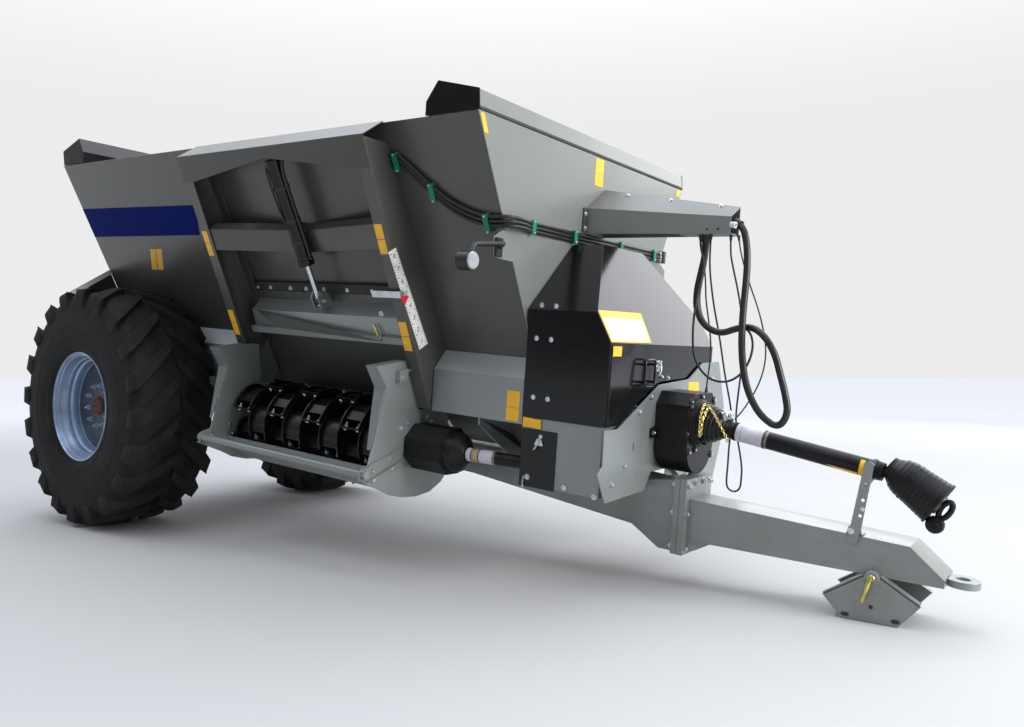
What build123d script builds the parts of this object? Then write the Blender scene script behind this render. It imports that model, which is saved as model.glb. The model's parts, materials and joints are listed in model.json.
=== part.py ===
from build123d import *
import math
import os

# Side-discharge manure spreader, single axle, towed from a drawbar eye.
# Everything is drawn square to the machine first: X forward to the hitch, Y left, Z up,
# wheel centre at x 0, z 800 (millimetres). place() then lowers the nose by PITCH about the
# wheel centre, which is how the machine parks on its wheels and its skid foot, and moves
# the origin to the middle of the outer box, on the ground.

# ---------------------------------------------------------------- driving dimensions
PITCH = 4.62            # nose-down angle of the parked machine, degrees
WHEEL_R = 800.0         # tyre radius (23.1-26 flotation lug tyre)
TYRE_IN, TYRE_OUT = 600.0, 1175.0   # tyre section, distance from the centre plane
RIM_R = 330.0           # 26 inch bead seat
FLANGE_R = 360.0

HOP_X0, HOP_X1 = -605.0, 3168.0     # outer faces of the rear and front hopper walls
TOP_Z, TOP_HALF = 2437.0, 1024.0    # hopper rim
SLOPE = 0.505                       # side wall: half width lost per unit of height
SHEET = 5.0
TROUGH_R = 350.0                    # auger trough, inside
AUGER_R = 322.0
RAIL_Z0, RAIL_Z1, RAIL_Z2 = 1045.0, 1268.0, 1366.0
RAIL_Y = 570.0

FRAME_X0, FRAME_X1, POST_W = 1050.0, 2590.0, 80.0   # door frame
ROTOR_Y, ROTOR_Z = -555.0, 850.0
ROTOR_TIP, ROTOR_TUBE, PAN_R = 240.0, 95.0, 275.0
SHAFT_R = 40.0
PLATE_X0, PLATE_X1 = 1140.0, 2497.0                 # rotor side plates (8 thick)
BAR_Y, BAR_Z, BAR_R = -957.0, 735.0, 21.0

BOX_Y = 570.0                       # half width of the front drive housing
BOX_X = 3640.0
EYE_X, EYE_Z, EYE_RO, EYE_RI = 5020.0, 594.0, 65.0, 27.0
SKID_X, SKID_Z = 4704.0, 566.0
PTO_A = (3904.0, 0.0, 1099.0)       # rear universal joint
PTO_B = (4773.0, 0.0, 983.0)        # front universal joint

NORM = math.hypot(1.0, SLOPE)
TROUGH_Z = ((TOP_HALF - SLOPE * TOP_Z) * -1.0 + TROUGH_R * NORM) / SLOPE   # trough centre height


def wall_y(z, off=0.0):
    """Distance of the right wall's outer plane from the centre plane, moved outwards by off."""
    return -(TOP_HALF - SLOPE * (TOP_Z - z)) - off * NORM


# ---------------------------------------------------------------- helpers
def prism(points, vec):
    """Closed solid from a flat polygon of 3-D points pushed along vec."""
    face = Face(Wire.make_polygon([Vector(*p) for p in points], close=True))
    return Solid.extrude(face, Vector(*vec))


def prism_x(yz, x0, x1):
    return prism([(x0, y, z) for y, z in yz], (x1 - x0, 0, 0))


def prism_y(xz, y0, y1):
    return prism([(x, y0, z) for x, z in xz], (0, y1 - y0, 0))


def block(x0, x1, y0, y1, z0, z1):
    return prism_x([(y0, z0), (y1, z0), (y1, z1), (y0, z1)], x0, x1)


def rod(p0, p1, r, r2=None):
    """Cylinder or cone between two points."""
    a, b = Vector(*p0), Vector(*p1)
    d = b - a
    pl = Plane(origin=a, z_dir=d)
    if r2 is None:
        return pl * Cylinder(r, d.length, align=(Align.CENTER, Align.CENTER, Align.MIN))
    return pl * Cone(r, r2, d.length, align=(Align.CENTER, Align.CENTER, Align.MIN))


def pipe(p0, p1, ro, ri):
    a, b = Vector(*p0), Vector(*p1)
    d = (b - a).normalized() * 5
    return rod(p0, p1, ro) - rod(tuple(a - d), tuple(b + d), ri)


def ring_y(profile, cx=0.0, cz=WHEEL_R):
    """Solid of revolution about the line parallel to Y through (cx, cz). profile: (radius, y)."""
    pts = [(cx + r, y, cz) for r, y in profile]
    face = Face(Wire.make_polygon([Vector(*p) for p in pts], close=True))
    return Solid.revolve(face, 360, Axis((cx, 0, cz), (0, 1, 0)))


def mirror_y(s):
    return mirror(s, about=Plane.XZ)


def join(items):
    out = items[0]
    for s in items[1:]:
        out = out + s
    return out


def group(items):
    """Several solids that don't touch, kept as one node."""
    solids = []
    for s in items:
        solids += list(s.solids())
    return solids


PIVOT = Axis((0, 0, WHEEL_R), (0, 1, 0))
SHIFT_X = 0.0           # set from the outer box below
C_, S_ = math.cos(math.radians(PITCH)), math.sin(math.radians(PITCH))


def to_row(p):
    """Machine-square point to the parked machine's frame, millimetres."""
    x, y, z = p
    return (x * C_ + (z - WHEEL_R) * S_ + SHIFT_X, y, WHEEL_R + (z - WHEEL_R) * C_ - x * S_)


front_x = (EYE_X) * C_ + (EYE_Z - WHEEL_R) * S_ + EYE_RO * 1.0
SHIFT_X = -(front_x + (-WHEEL_R)) / 2.0

NODES = {}


def place(name, s):
    solids = s if isinstance(s, list) else list(s.solids())
    turned = [b.rotate(PIVOT, PITCH).moved(Location((SHIFT_X, 0, 0))) for b in solids]
    NODES[name] = Compound(turned) if len(turned) > 1 else turned[0]


def place_row(name, s):
    """For what is already square to the ground, with x measured from the wheel centre."""
    NODES[name] = s.moved(Location((SHIFT_X, 0, 0)))


# ---------------------------------------------------------------- hopper
def wall_plate(outline, off0, off1):
    """Plate parallel to the right wall. outline: (x, z) on the wall plane; off0..off1 outwards."""
    pts = [(x, wall_y(z, off0), z) for x, z in outline]
    # the outward normal of the right wall
    n = (0.0, -1.0 / NORM, -SLOPE / NORM)
    t = off1 - off0
    return prism(pts, (n[0] * t, n[1] * t, n[2] * t))


# tangent height where the wall runs into the trough
TAN_Z = TROUGH_Z - SLOPE / NORM * TROUGH_R
in0, in1 = HOP_X0 + SHEET, HOP_X1 - SHEET

wall = wall_plate([(in0, TOP_Z), (in1, TOP_Z), (in1, TAN_Z + 3.0), (in0, TAN_Z + 3.0)], -SHEET, 0.0)
OPEN_X0, OPEN_X1, OPEN_TOP = PLATE_X0 + 40, PLATE_X1 - 30, 1610.0
cut = wall_plate([(OPEN_X0, OPEN_TOP), (OPEN_X1, OPEN_TOP), (OPEN_X1, 900.0), (OPEN_X0, 900.0)], -60.0, 60.0)
place("hopper_left_wall", mirror_y(wall))
place("hopper_right_wall", wall - cut)


def end_outline(inset=0.0):
    pts = []
    zt = TOP_Z
    pts += [(-(TOP_HALF - inset), zt)]
    pts += [(wall_y(TAN_Z) + inset, TAN_Z)]
    a0 = math.degrees(math.atan2(1.0 / NORM, SLOPE / NORM))
    n = 6
    for i in range(1, n):
        a = math.radians(-a0 + 2 * a0 * i / n)
        r = TROUGH_R + SHEET - inset
        pts.append((math.sin(a) * r, TROUGH_Z - math.cos(a) * r))
    pts += [(-wall_y(TAN_Z) - inset, TAN_Z), (TOP_HALF - inset, zt)]
    return pts


# front wall with its two lamp tabs, and the rear wall
tab = [(-863, 1913), (-853, 1819), (-700, 1812), (-700, 1946), (-804, 1948)]
front_wall = prism_x(end_outline(), HOP_X1 - SHEET, HOP_X1)
front_wall = front_wall + prism_x(tab, HOP_X1 - SHEET, HOP_X1)
front_wall = front_wall + prism_x([(-y, z) for y, z in tab], HOP_X1 - SHEET, HOP_X1)
AUGER_SHAFT_R = 30.0
shaft_hole = rod((HOP_X0 - 20, 0, TROUGH_Z), (HOP_X1 + 20, 0, TROUGH_Z), AUGER_SHAFT_R + 0.06)
place("hopper_front_wall", front_wall - shaft_hole)
place("hopper_rear_wall", prism_x(end_outline(), HOP_X0, HOP_X0 + SHEET) - shaft_hole)

# trough: part of a pipe between the two tangent lines, open towards the rotor
WEDGE = 700.0
ring = pipe((in0, 0, TROUGH_Z), (in1, 0, TROUGH_Z), TROUGH_R + SHEET, TROUGH_R)
ny, nz = 1.0 / NORM, SLOPE / NORM
wedge = prism_x([(0, TROUGH_Z), (-ny * WEDGE, TROUGH_Z - nz * WEDGE), (-ny * WEDGE, TROUGH_Z - WEDGE),
                 (ny * WEDGE, TROUGH_Z - WEDGE), (ny * WEDGE, TROUGH_Z - nz * WEDGE)], in0 - 10, in1 + 10)
trough = ring & wedge
trough = trough - block(OPEN_X0, OPEN_X1, -420.0, -200.0, 700.0, 1150.0)
place("auger_trough", trough)

# side rails: bent sheet boxes welded to the outside of the side walls
rail_out = [(wall_y(RAIL_Z2) - 1.0, RAIL_Z2), (-RAIL_Y, RAIL_Z1), (-RAIL_Y, RAIL_Z0), (wall_y(RAIL_Z0) - 1.0, RAIL_Z0)]
rail_in = [(wall_y(RAIL_Z2 - 12) - 7.0, RAIL_Z2 - 16), (-RAIL_Y + 6, RAIL_Z1 - 3), (-RAIL_Y + 6, RAIL_Z0 + 6),
           (wall_y(RAIL_Z0 + 6) - 7.0, RAIL_Z0 + 6)]


def rail(x0, x1):
    return prism_x(rail_out, x0, x1) - prism_x(rail_in, x0 + 6, x1 - 6)


place("side_rail_right", group([rail(FRAME_X1 + 0.5, HOP_X1 + 8), rail(HOP_X0, FRAME_X0 - 0.5)]))
place("side_rail_left", mirror_y(rail(HOP_X0, HOP_X1 + 8)))

# ---------------------------------------------------------------- spill covers on the rim
lid_o = [(3170, 2441), (3161, 2526), (2923, 2586), (2858, 2501), (2858, 2441)]
lid_i = [(3166, 2430), (3157, 2523), (2924, 2581.5), (2862, 2500), (2862, 2430)]
cap_o = [(3172, 2439), (3163, 2529), (2922, 2590), (2855, 2502), (2855, 2439)]
place("front_splash_lid", join([prism_y(lid_o, -1018, 1018) - prism_y(lid_i, -1030, 1030), prism_y(cap_o, -1024, -1018), prism_y(cap_o, 1018, 1024)]))
rear_o = [(-612, 2441), (-634, 2539), (-408, 2613), (-345, 2518), (-345, 2441)]
rear_i = [(-606, 2430), (-629, 2537), (-409, 2609), (-349, 2517), (-349, 2430)]
place("rear_splash_plate", group([prism_y(rear_o, -1018, 1018) - prism_y(rear_i, -1012, 1012)]))

# ---------------------------------------------------------------- door frame on the right side
post = [(-1146, 2345), (-583, 1052), (-573, 1052), (-573, 1270), (wall_y(1368) - 2, 1368), (wall_y(2345) - 2, 2345)]
post_in = [(-1138, 2345), (-583, 1075), (-579, 1075), (-579, 1272), (wall_y(1372) - 8, 1372), (wall_y(2345) - 8, 2345)]


def post_at(x0, inner):
    """C section post: open on the side given by inner (-1 opens to the rear, +1 to the front)."""
    s = prism_x(post, x0, x0 + POST_W)
    a, b = (x0 - 5, x0 + POST_W - 6) if inner < 0 else (x0 + 6, x0 + POST_W + 5)
    return s - prism_x(post_in, a, b)


place("door_posts", group([post_at(FRAME_X0, 1), post_at(FRAME_X1 - POST_W, -1)]))
# canopy: a sloping top sheet and a front face whose lower edge rises to the middle
canopy_top = prism([(FRAME_X0, -1026, 2436), (FRAME_X1, -1026, 2436), (FRAME_X1, -1150, 2350), (FRAME_X0, -1150, 2350)],
                   (0, -2.6, 5))
edge_y = lambda z: -1146.0 - (z - 2347.0) * (1146.0 - 583.0) / (2347.0 - 1052.0)
mid0 = (FRAME_X0 + FRAME_X1) / 2
fascia_pts = [(FRAME_X0, 2353), (FRAME_X1, 2353), (FRAME_X1, 2212), (FRAME_X1 - POST_W, 2212), (1835, 2300),
              (FRAME_X0 + POST_W, 2218), (FRAME_X0, 2218)]
fascia = prism([(x, edge_y(z) - 1.0, z) for x, z in fascia_pts], (0, -4.6, -2.0))
hanger = join([block(mid0 - 44, mid0 - 34, -1092, -1040, 2322, 2405), block(mid0 + 34, mid0 + 44, -1092, -1040, 2322, 2405),
               rod((mid0 - 60, -1056, 2345), (mid0 + 60, -1056, 2345), 14)])
above = prism([(FRAME_X0, -1026, 2437), (FRAME_X1, -1026, 2437), (FRAME_X1, -1150, 2351), (FRAME_X0, -1150, 2351)], (0, -26, 50))
place("door_canopy", join([canopy_top, fascia, hanger - above]))
# cross beam: folded channel, its middle set back towards the wall behind the cylinder
mid = (FRAME_X0 + FRAME_X1) / 2


def beam_half(xa, ya, xb, yb):
    """One half of the cross beam, from the post to the middle; y is the front top edge."""
    lean = 0.435
    front = lambda x, y: [(x, y, 1968), (x, y + lean * 118, 1850)]
    a, b = front(xa, ya), front(xb, yb)
    face = prism([a[0], b[0], b[1], a[1]], (0, 6, 2.6))
    top = prism([(xa, ya, 1968), (xb, yb, 1968), (xb, yb + 36, 1968), (xa, ya + 130, 1968)], (0, 0, -5))
    return face + top


place("door_cross_beam", join([beam_half(FRAME_X0 + POST_W + 1, -972, mid, -838), beam_half(FRAME_X1 - POST_W - 1, -972, mid, -838)]))

# ---------------------------------------------------------------- discharge rotor and its housing
plate_out = [(-600, 1300), (-660, 1302), (-895, 1268), (-820, 1160), (-928, 747), (-975, 700), (-830, 640),
             (-760, 604), (-660, 580), (-555, 572), (-450, 584), (-360, 630), (-300, 700), (-276, 850), (-330, 960), (-420, 1040),
             (-572, 1040), (-578, 1060)]
plates = []
for x in (PLATE_X0, PLATE_X1):
    p = prism_x(plate_out, x, x + 8)
    p = p - rod((x - 5, ROTOR_Y, ROTOR_Z), (x + 15, ROTOR_Y, ROTOR_Z), SHAFT_R + 0.06) - rod((x - 5, BAR_Y, BAR_Z), (x + 15, BAR_Y, BAR_Z), BAR_R + 0.5)
    plates.append(p)
place("rotor_side_plates", group(plates))
pan_ring = pipe((PLATE_X0 + 9, ROTOR_Y, ROTOR_Z), (PLATE_X1 - 1, ROTOR_Y, ROTOR_Z), PAN_R, PAN_R - 6)
pan_keep = prism_x([(ROTOR_Y, ROTOR_Z), (ROTOR_Y - 420, ROTOR_Z - 190), (ROTOR_Y - 420, 500), (-240, 500), (-240, 850), (ROTOR_Y, 850)],
                   PLATE_X0, PLATE_X1 + 10)
transfer = prism_x([(-282, 843), (-206, 894), (-206, 888), (-280, 838)], OPEN_X0 - 30, OPEN_X1 + 20)
place("rotor_pan", join([pan_ring & pan_keep, transfer]))
# guard bar with its two bolted channel arms
arm_pts = [(-985, 706), (-985, 752), (-962, 768), (-700, 850), (-690, 785), (-950, 690)]
bar = rod((PLATE_X0 - 34, BAR_Y, BAR_Z), (PLATE_X1 + 42, BAR_Y, BAR_Z), BAR_R)
arms = [prism_x(arm_pts, PLATE_X0 - 7, PLATE_X0 - 1), prism_x(arm_pts, PLATE_X1 + 9, PLATE_X1 + 15)]
place("guard_bar", join([bar] + arms))

# rotor: tube, end shafts, and eight rows of beaters, each a pair of curved arms with a back plate and a tip paddle

rot = rod((PLATE_X0 + 12, ROTOR_Y, ROTOR_Z), (PLATE_X1 - 4, ROTOR_Y, ROTOR_Z), ROTOR_TUBE)
rot = rot - rod((PLATE_X0 + 30, ROTOR_Y, ROTOR_Z), (PLATE_X1 - 30, ROTOR_Y, ROTOR_Z), ROTOR_TUBE - 9)
rot = rot + rod((PLATE_X0 - 25, ROTOR_Y, ROTOR_Z), (PLATE_X1 + 22, ROTOR_Y, ROTOR_Z), SHAFT_R)
place("rotor_tube", rot)
# rows: angle of the row's tip above the horizontal; every second row is shifted half a pitch
ROTOR_ROWS = [(17.0 + 45.0 * i, 1254.0 if i % 2 == 0 else 1412.0, 4) for i in range(8)]
UNIT_PITCH, PAIR = 316.0, 146.0
flail_items = []
for ang, x_first, count in ROTOR_ROWS:
    def polar(r, da, t=0.0):
        a = math.radians(ang + da)
        return (ROTOR_Y - r * math.cos(a) - t * math.sin(a), ROTOR_Z + r * math.sin(a) - t * math.cos(a))

    # curved arm, drawn in the plane across the shaft: angles relative to the tip
    sect = [(90, 74), (130, 74), (165, 71), (192, 65), (213, 56), (226, 46), (235, 35), (ROTOR_TIP - 3, 22), (ROTOR_TIP - 1, 10), (ROTOR_TIP, 0), (222, -3), (196, -4), (160, 2), (120, 12), (90, 20)]
    back = [(224, 12), (220, 26), (210, 39), (196, 50), (176, 59), (152, 64)]
    inner = [(r - 8, da) for r, da in reversed(back)]
    pad_a = [polar(184, 0, -2), polar(ROTOR_TIP - 1, 0, -2), polar(ROTOR_TIP - 1, 0, 9), polar(184, 0, 9)]
    for k in range(count):
        xc = x_first + UNIT_PITCH * k
        unit = [prism_x([polar(r, da) for r, da in sect], xc + s * PAIR / 2 - 5, xc + s * PAIR / 2 + 5) for s in (-1, 1)]
        unit.append(prism_x([polar(r, da) for r, da in back + inner], xc - PAIR / 2, xc + PAIR / 2))
        unit.append(prism_x(pad_a, xc - PAIR / 2 - 4, xc + PAIR / 2 + 4))
        flail_items.append(join(unit))
tube_cut = rod((PLATE_X0 - 20, ROTOR_Y, ROTOR_Z), (PLATE_X1 + 20, ROTOR_Y, ROTOR_Z), ROTOR_TUBE + 0.05)
place("rotor_arms", group([f - tube_cut for f in flail_items]))

# ---------------------------------------------------------------- discharge door (slides along the side wall)
D0, D1 = 9.0, 15.0      # sheet offset from the wall
DX0, DX1 = PLATE_X0 + 14, PLATE_X1 - 6
door_sheet = wall_plate([(DX0, 1690), (DX1, 1690), (DX1, 1060), (DX0, 1060)], D0, D1)
place("door_sheet", door_sheet)
# pressed box stiffener across the door
box_yz = [(wall_y(1590, D1 + 0.5), 1590), (wall_y(1515, 100), 1515), (wall_y(1425, 112), 1425), (wall_y(1412, 150), 1412),
          (wall_y(1376, 150), 1376), (wall_y(1400, D1 + 0.5), 1400)]
box_in = [(wall_y(1580, D1 + 6), 1578), (wall_y(1512, 92), 1510), (wall_y(1428, 104), 1430), (wall_y(1418, 140), 1404),
          (wall_y(1386, 140), 1384), (wall_y(1408, D1 + 6), 1408)]
stiffener = prism_x(box_yz, DX0, DX1) - prism_x(box_in, DX0 + 5, DX1 - 5)
place("door_top_seal", wall_plate([(DX0, 1689), (DX1, 1689), (DX1, 1640), (DX0, 1640)], D1 + 0.5, D1 + 10.5))
# clevis of the cylinder rod on the stiffener, and the rod itself, in line with the slide
CYL_OFF = 100.0
cyl = lambda z: (mid, wall_y(z, CYL_OFF), z)
clv = []
for dx in (-32, 24):
    clv.append(prism([(mid + dx, wall_y(1560, 30), 1560), (mid + dx, wall_y(1545, 125), 1545), (mid + dx, wall_y(1600, 130), 1600),
                      (mid + dx, wall_y(1640, 100), 1640), (mid + dx, wall_y(1600, 40), 1600)], (8, 0, 0)))
clv.append(rod((mid - 40, *cyl(1588)[1:]), (mid + 42, *cyl(1588)[1:]), 12))
place("door_stiffener", join([stiffener] + clv))
place("cylinder_rod", join([rod(cyl(1606), cyl(2085), 15.0), rod(cyl(1565), cyl(1610), 19.0)]) - rod((mid - 60, *cyl(1588)[1:]), (mid + 60, *cyl(1588)[1:]), 12.05))
# deflector plate on the door, and the pointer bar that reads on the post's scale
defl = prism([(1200, -670.2, 1512), (2330, -688, 1386), (1420, -694, 1416)], (0, -3, 3))
place("door_deflector", defl)
PTR = 213.0              # the bar passes outside the post's outer flange
pointer = wall_plate([(DX1 - 90, 1650), (FRAME_X1 + 11, 1650), (FRAME_X1 + 11, 1618), (DX1 - 90, 1618)], PTR, PTR + 5)
pointer = pointer + prism_x([(wall_y(1648, 26.2), 1648), (wall_y(1648, PTR + 1), 1648), (wall_y(1622, PTR + 1), 1622), (wall_y(1636, 26.2), 1636)], DX1 - 90, DX1 - 84)
pointer = pointer + prism_x([(wall_y(1650, PTR + 2), 1650), (wall_y(1650, PTR + 2) + 42, 1650), (wall_y(1618, PTR + 2) + 18, 1618), (wall_y(1618, PTR + 2), 1618)],
                            FRAME_X1 + 6, FRAME_X1 + 11)
place("door_pointer", pointer)
# barrel, fixed under the canopy, and its hanger
brl = pipe(cyl(1795), cyl(2255), 41.0, 33.0)
brl = brl + pipe(cyl(1780), cyl(1812), 44.0, 15.05)
brl = brl + rod(cyl(2255), cyl(2305), 44.0)
place("cylinder_barrel", brl)

# ---------------------------------------------------------------- auger along the trough
AX = TROUGH_Z
shaft = rod((in0 + 30, 0, AX), (in1 - 30, 0, AX), 55.0)
shaft = shaft + rod((HOP_X0 - 40, 0, AX), (HOP_X1 + 60, 0, AX), AUGER_SHAFT_R)
PITCH_A = 450.0
flight = []
n_half = int((in1 - in0 - 120) / (PITCH_A / 2))
tilt = math.degrees(math.atan2(PITCH_A / 2, 2 * AUGER_R))
# flat half turns, tilted one way on the left half and the other way on the right half
for i in range(n_half):
    x = in0 + 160 + i * PITCH_A / 2
    side = 1 if i % 2 else -1
    disc = Plane(origin=(x, 0, AX), x_dir=(0, 1, 0), z_dir=(math.cos(math.radians(tilt)), 0, side * math.sin(math.radians(tilt)))) \
        * Cylinder(AUGER_R, 7.0)
    keep = block(x - 260, x + 260, -AUGER_R - 10 if side < 0 else 0.0, 0.0 if side < 0 else AUGER_R + 10, AX - AUGER_R - 10, AX + AUGER_R + 10)
    flight.append((disc & keep) - rod((x - 300, 0, AX), (x + 300, 0, AX), 54.0))
place("auger", join([shaft] + flight))

# ---------------------------------------------------------------- chassis, axle and drawbar
T_BEAM = 8.0


def box_beam(outer, y, inset):
    """Closed box section beam: outer outline in XZ, half width y, wall 8 mm."""
    cx = sum(p[0] for p in outer) / len(outer)
    cz = sum(p[1] for p in outer) / len(outer)
    inner = [(x + (T_BEAM * 1.2 if x < cx else -T_BEAM * 1.2), z + (T_BEAM * 1.2 if z < cz else -T_BEAM * 1.2)) for x, z in inset]
    return prism_y(outer, -y, y) - prism_y(inner, -y + T_BEAM, y - T_BEAM)


ch = [(62, 715), (62, 815), (3400, 815), (3640, 800), (3801, 826), (3801, 560), (3560, 566), (2528, 655), (900, 700)]
ch_i = [(62, 715), (62, 815), (3400, 815), (3640, 800), (3801, 826), (3801, 560), (3560, 566), (2528, 655), (900, 700)]
chassis = box_beam(ch, 110, ch_i)
gus = [prism_y([(3545, 575), (3714, 474), (3799, 474), (3799, 575)], -104, -96), prism_y([(3545, 575), (3714, 474), (3799, 474), (3799, 575)], 96, 104)]
flange = block(3800, 3828, -150, 150, 474, 838)
place("chassis_beam", join([chassis] + gus + [flange]))
db = [(3862, 541), (3862, 742), (4832, 720), (4968, 610), (4968, 578)]
db_i = [(3862, 541), (3862, 742), (4826, 720), (4955, 616), (4955, 578)]
draw = box_beam(db, 105, db_i)
dgus = [prism_y([(3862, 548), (3862, 480), (3905, 500), (3985, 548)], -100, -92), prism_y([(3862, 548), (3862, 480), (3905, 500), (3985, 548)], 92, 100)]
skid_boss = rod((SKID_X, -122, SKID_Z), (SKID_X, 122, SKID_Z), 30) - rod((SKID_X, -130, SKID_Z), (SKID_X, 130, SKID_Z), 16.06)
draw = draw - rod((SKID_X, -130, SKID_Z), (SKID_X, 130, SKID_Z), 29.0)
place("drawbar_beam", join([draw, block(3830, 3862, -150, 150, 474, 838), skid_boss] + dgus))
eye = rod((EYE_X, 0, EYE_Z - 15), (EYE_X, 0, EYE_Z + 15), EYE_RO)
eye = eye + block(4900, EYE_X - 20, -45, 45, EYE_Z - 15, EYE_Z + 15)
eye = eye - rod((EYE_X, 0, EYE_Z - 30), (EYE_X, 0, EYE_Z + 30), EYE_RI) - block(4890, 4969.5, -80, 80, 500, 650)
place("hitch_eye", eye)
axle = block(-50, 50, -520, 520, 722, 822) - block(-42, 42, -512, 512, 730, 814)
for s in (-1, 1):
    axle = axle + rod((0, s * 515, WHEEL_R), (0, s * 700, WHEEL_R), 45) + rod((0, s * 690, WHEEL_R), (0, s * 1000, WHEEL_R), 32)
place("axle_beam", axle)
# axle seats under the side rails, and cross ties from the chassis beam out to the rails
seats = []
for s in (-1, 1):
    seats.append(prism_y([(-130, 1044), (130, 1044), (75, 823), (-75, 823)], s * 420, s * 432))
    seats.append(prism_y([(-130, 1044), (130, 1044), (75, 823), (-75, 823)], s * 500, s * 512))
ties = []
for x in (700.0, 2900.0):
    ties.append(prism_x([(-560, 1044), (-330, 1044), (-330, 1000), (-108, 818), (108, 818), (330, 1000), (330, 1044), (560, 1044), (560, 1010), (150, 740), (112, 740),
                         (112, 816), (-112, 816), (-112, 740), (-150, 740), (-560, 1010)], x, x + 10))
tie_cut = rod((600, 0, TROUGH_Z), (3100, 0, TROUGH_Z), TROUGH_R + SHEET + 1)
ties = [t - tie_cut for t in ties]
place("axle_seats_and_ties", group(seats + ties))

# ---------------------------------------------------------------- front drive housing
FX = HOP_X1 + 9.0
# grey lower case with the drive plate on its front
lower = block(FX, 3622, -BOX_Y + 6, BOX_Y - 6, 760, 1086) - block(FX + 6, 3616, -BOX_Y + 12, BOX_Y - 12, 700, 1080) - block(FX - 20, 3630, -116, 116, 700, 842)
place("drive_case", lower + block(FX + 5, 3383, -BOX_Y - 1, -BOX_Y + 6, 752, 1030))
plate = [(-606, 1078), (-483, 1078), (-93, 1273), (250, 1295), (415, 1380), (640, 1389), (800, 1050), (660, 690), (324, 735), (118, 842), (-118, 842), (-178, 756),
         (-556, 745), (-640, 880), (-600, 915)]
place("drive_plate", prism_x(plate, 3647, 3655))
# black guard: side sheet, top and front as one shell, open to the hopper and below
hood = [(FX, 1086), (FX, 1950), (3352, 1950), (3640, 1466), (3640, 1086)]
hood_solid = prism_y(hood, -BOX_Y, BOX_Y)
roof = prism_x([(-BOX_Y, 1080), (-BOX_Y, 1604), (-205, 1955), (205, 1955), (BOX_Y, 1604), (BOX_Y, 1080)], FX - 5, 3700)
hood_in = prism_y([(FX - 5, 1080), (FX - 5, 1945), (3349, 1945), (3635, 1464), (3635, 1080)], -BOX_Y - 5, BOX_Y + 5)
roof_in = prism_x([(-BOX_Y + 4, 1070), (-BOX_Y + 4, 1602), (-203, 1950), (203, 1950), (BOX_Y - 4, 1602), (BOX_Y - 4, 1070)], FX - 10, 3800)
hood_shell = (hood_solid & roof) - (hood_in & roof_in)
# opening for the hinged front panel
DOOR_YA, DOOR_YB = -BOX_Y + 6, -60.0
hood_shell = hood_shell - block(3630, 3660, DOOR_YA, DOOR_YB, 1070, 1462)
# lower edge of the fixed left part
hood_shell = hood_shell - prism_x([(-62, 1070), (-62, 1285), (240, 1300), (410, 1382), (600, 1382), (600, 1070)], 3630, 3660)
place("drive_guard", hood_shell)
panel = prism_x([(DOOR_YA + 2, 1090), (-490, 1090), (-102, 1280), (-66, 1284), (-66, 1458), (DOOR_YA + 2, 1458)], 3641, 3645)
handle = join([rod((3644, -212, 1370), (3675, -212, 1370), 6), rod((3644, -212, 1275), (3675, -212, 1275), 6), rod((3675, -212, 1269), (3675, -212, 1376), 6)])
hinge_rod = rod((3643.1, DOOR_YA, 1100), (3643.1, DOOR_YA, 1450), 2.8)
place("guard_panel", join([panel, handle, hinge_rod]))
# gearbox guard: round below, eight sided above
GB_Y, GB_R, GB_Z = 42.5, 157.5, 1001.0
gb = prism_x([(-115, 1000), (-115, 1185), (-62, 1245), (150, 1245), (200, 1185), (200, 1000)], 3657, 3832) + rod((3657, GB_Y, GB_Z), (3832, GB_Y, GB_Z), GB_R)
gb = gb - prism_x([(-110, 1000), (-110, 1182), (-59, 1240), (147, 1240), (195, 1182), (195, 1000)], 3650, 3827) - rod((3650, GB_Y, GB_Z), (3827, GB_Y, GB_Z), GB_R - 5)
gb = gb - rod((3800, 0, 1100), (3840, 0, 1100), 62)
place("gearbox_guard", gb)
# guard cans and guard tube of the side driveshaft
oct_pts = [(ROTOR_Y + 128 * math.cos(math.radians(22.5 + 45 * i)), ROTOR_Z + 128 * math.sin(math.radians(22.5 + 45 * i))) for i in range(8)]
can = prism_x(oct_pts, 2506, 2750) - prism_x([((y - ROTOR_Y) * 0.95 + ROTOR_Y, (z - ROTOR_Z) * 0.95 + ROTOR_Z) for y, z in oct_pts], 2505, 2744)
can = can + rod((2750, ROTOR_Y, ROTOR_Z), (2800, ROTOR_Y, ROTOR_Z), 104, 98)
can = can + rod((2800, ROTOR_Y, ROTOR_Z), (2850, ROTOR_Y, ROTOR_Z), 98, 46)
place("side_shaft_guard", can + rod((2845, -555, 850), (3172, -527, 855), 33))

# ---------------------------------------------------------------- hose arm, lamps, boards
arm_a = Face(Wire.make_polygon([Vector(3170, -100, 2020), Vector(3170, -100, 2155), Vector(3170, 80, 2278), Vector(3170, 80, 2020)], close=True))
arm_b = Face(Wire.make_polygon([Vector(3960, -100, 2010), Vector(3960, -100, 2090), Vector(3960, 10, 2150), Vector(3960, 10, 2010)], close=True))
arm = Solid.make_loft([arm_a.outer_wire(), arm_b.outer_wire()], ruled=True)
arm_c = Face(Wire.make_polygon([Vector(3176, -96, 2010), Vector(3176, -96, 2152), Vector(3176, 76, 2270), Vector(3176, 76, 2010)], close=True))
arm_d = Face(Wire.make_polygon([Vector(3970, -96, 1995), Vector(3970, -96, 2087), Vector(3970, 6, 2143), Vector(3970, 6, 1995)], close=True))
arm = arm - Solid.make_loft([arm_c.outer_wire(), arm_d.outer_wire()], ruled=True)
place("hose_arm", arm + block(3700, 3952, -98, 4, 2010, 2018))
boards = prism_x([(wall_y(1735) - 2, 1735), (-976, 1535), (-976, 1500), (-940, 1330), (wall_y(1400) - 2, 1400)], HOP_X0 - 6, HOP_X0 + 2)
place("rear_boards", group([boards, mirror_y(boards)]))
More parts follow.
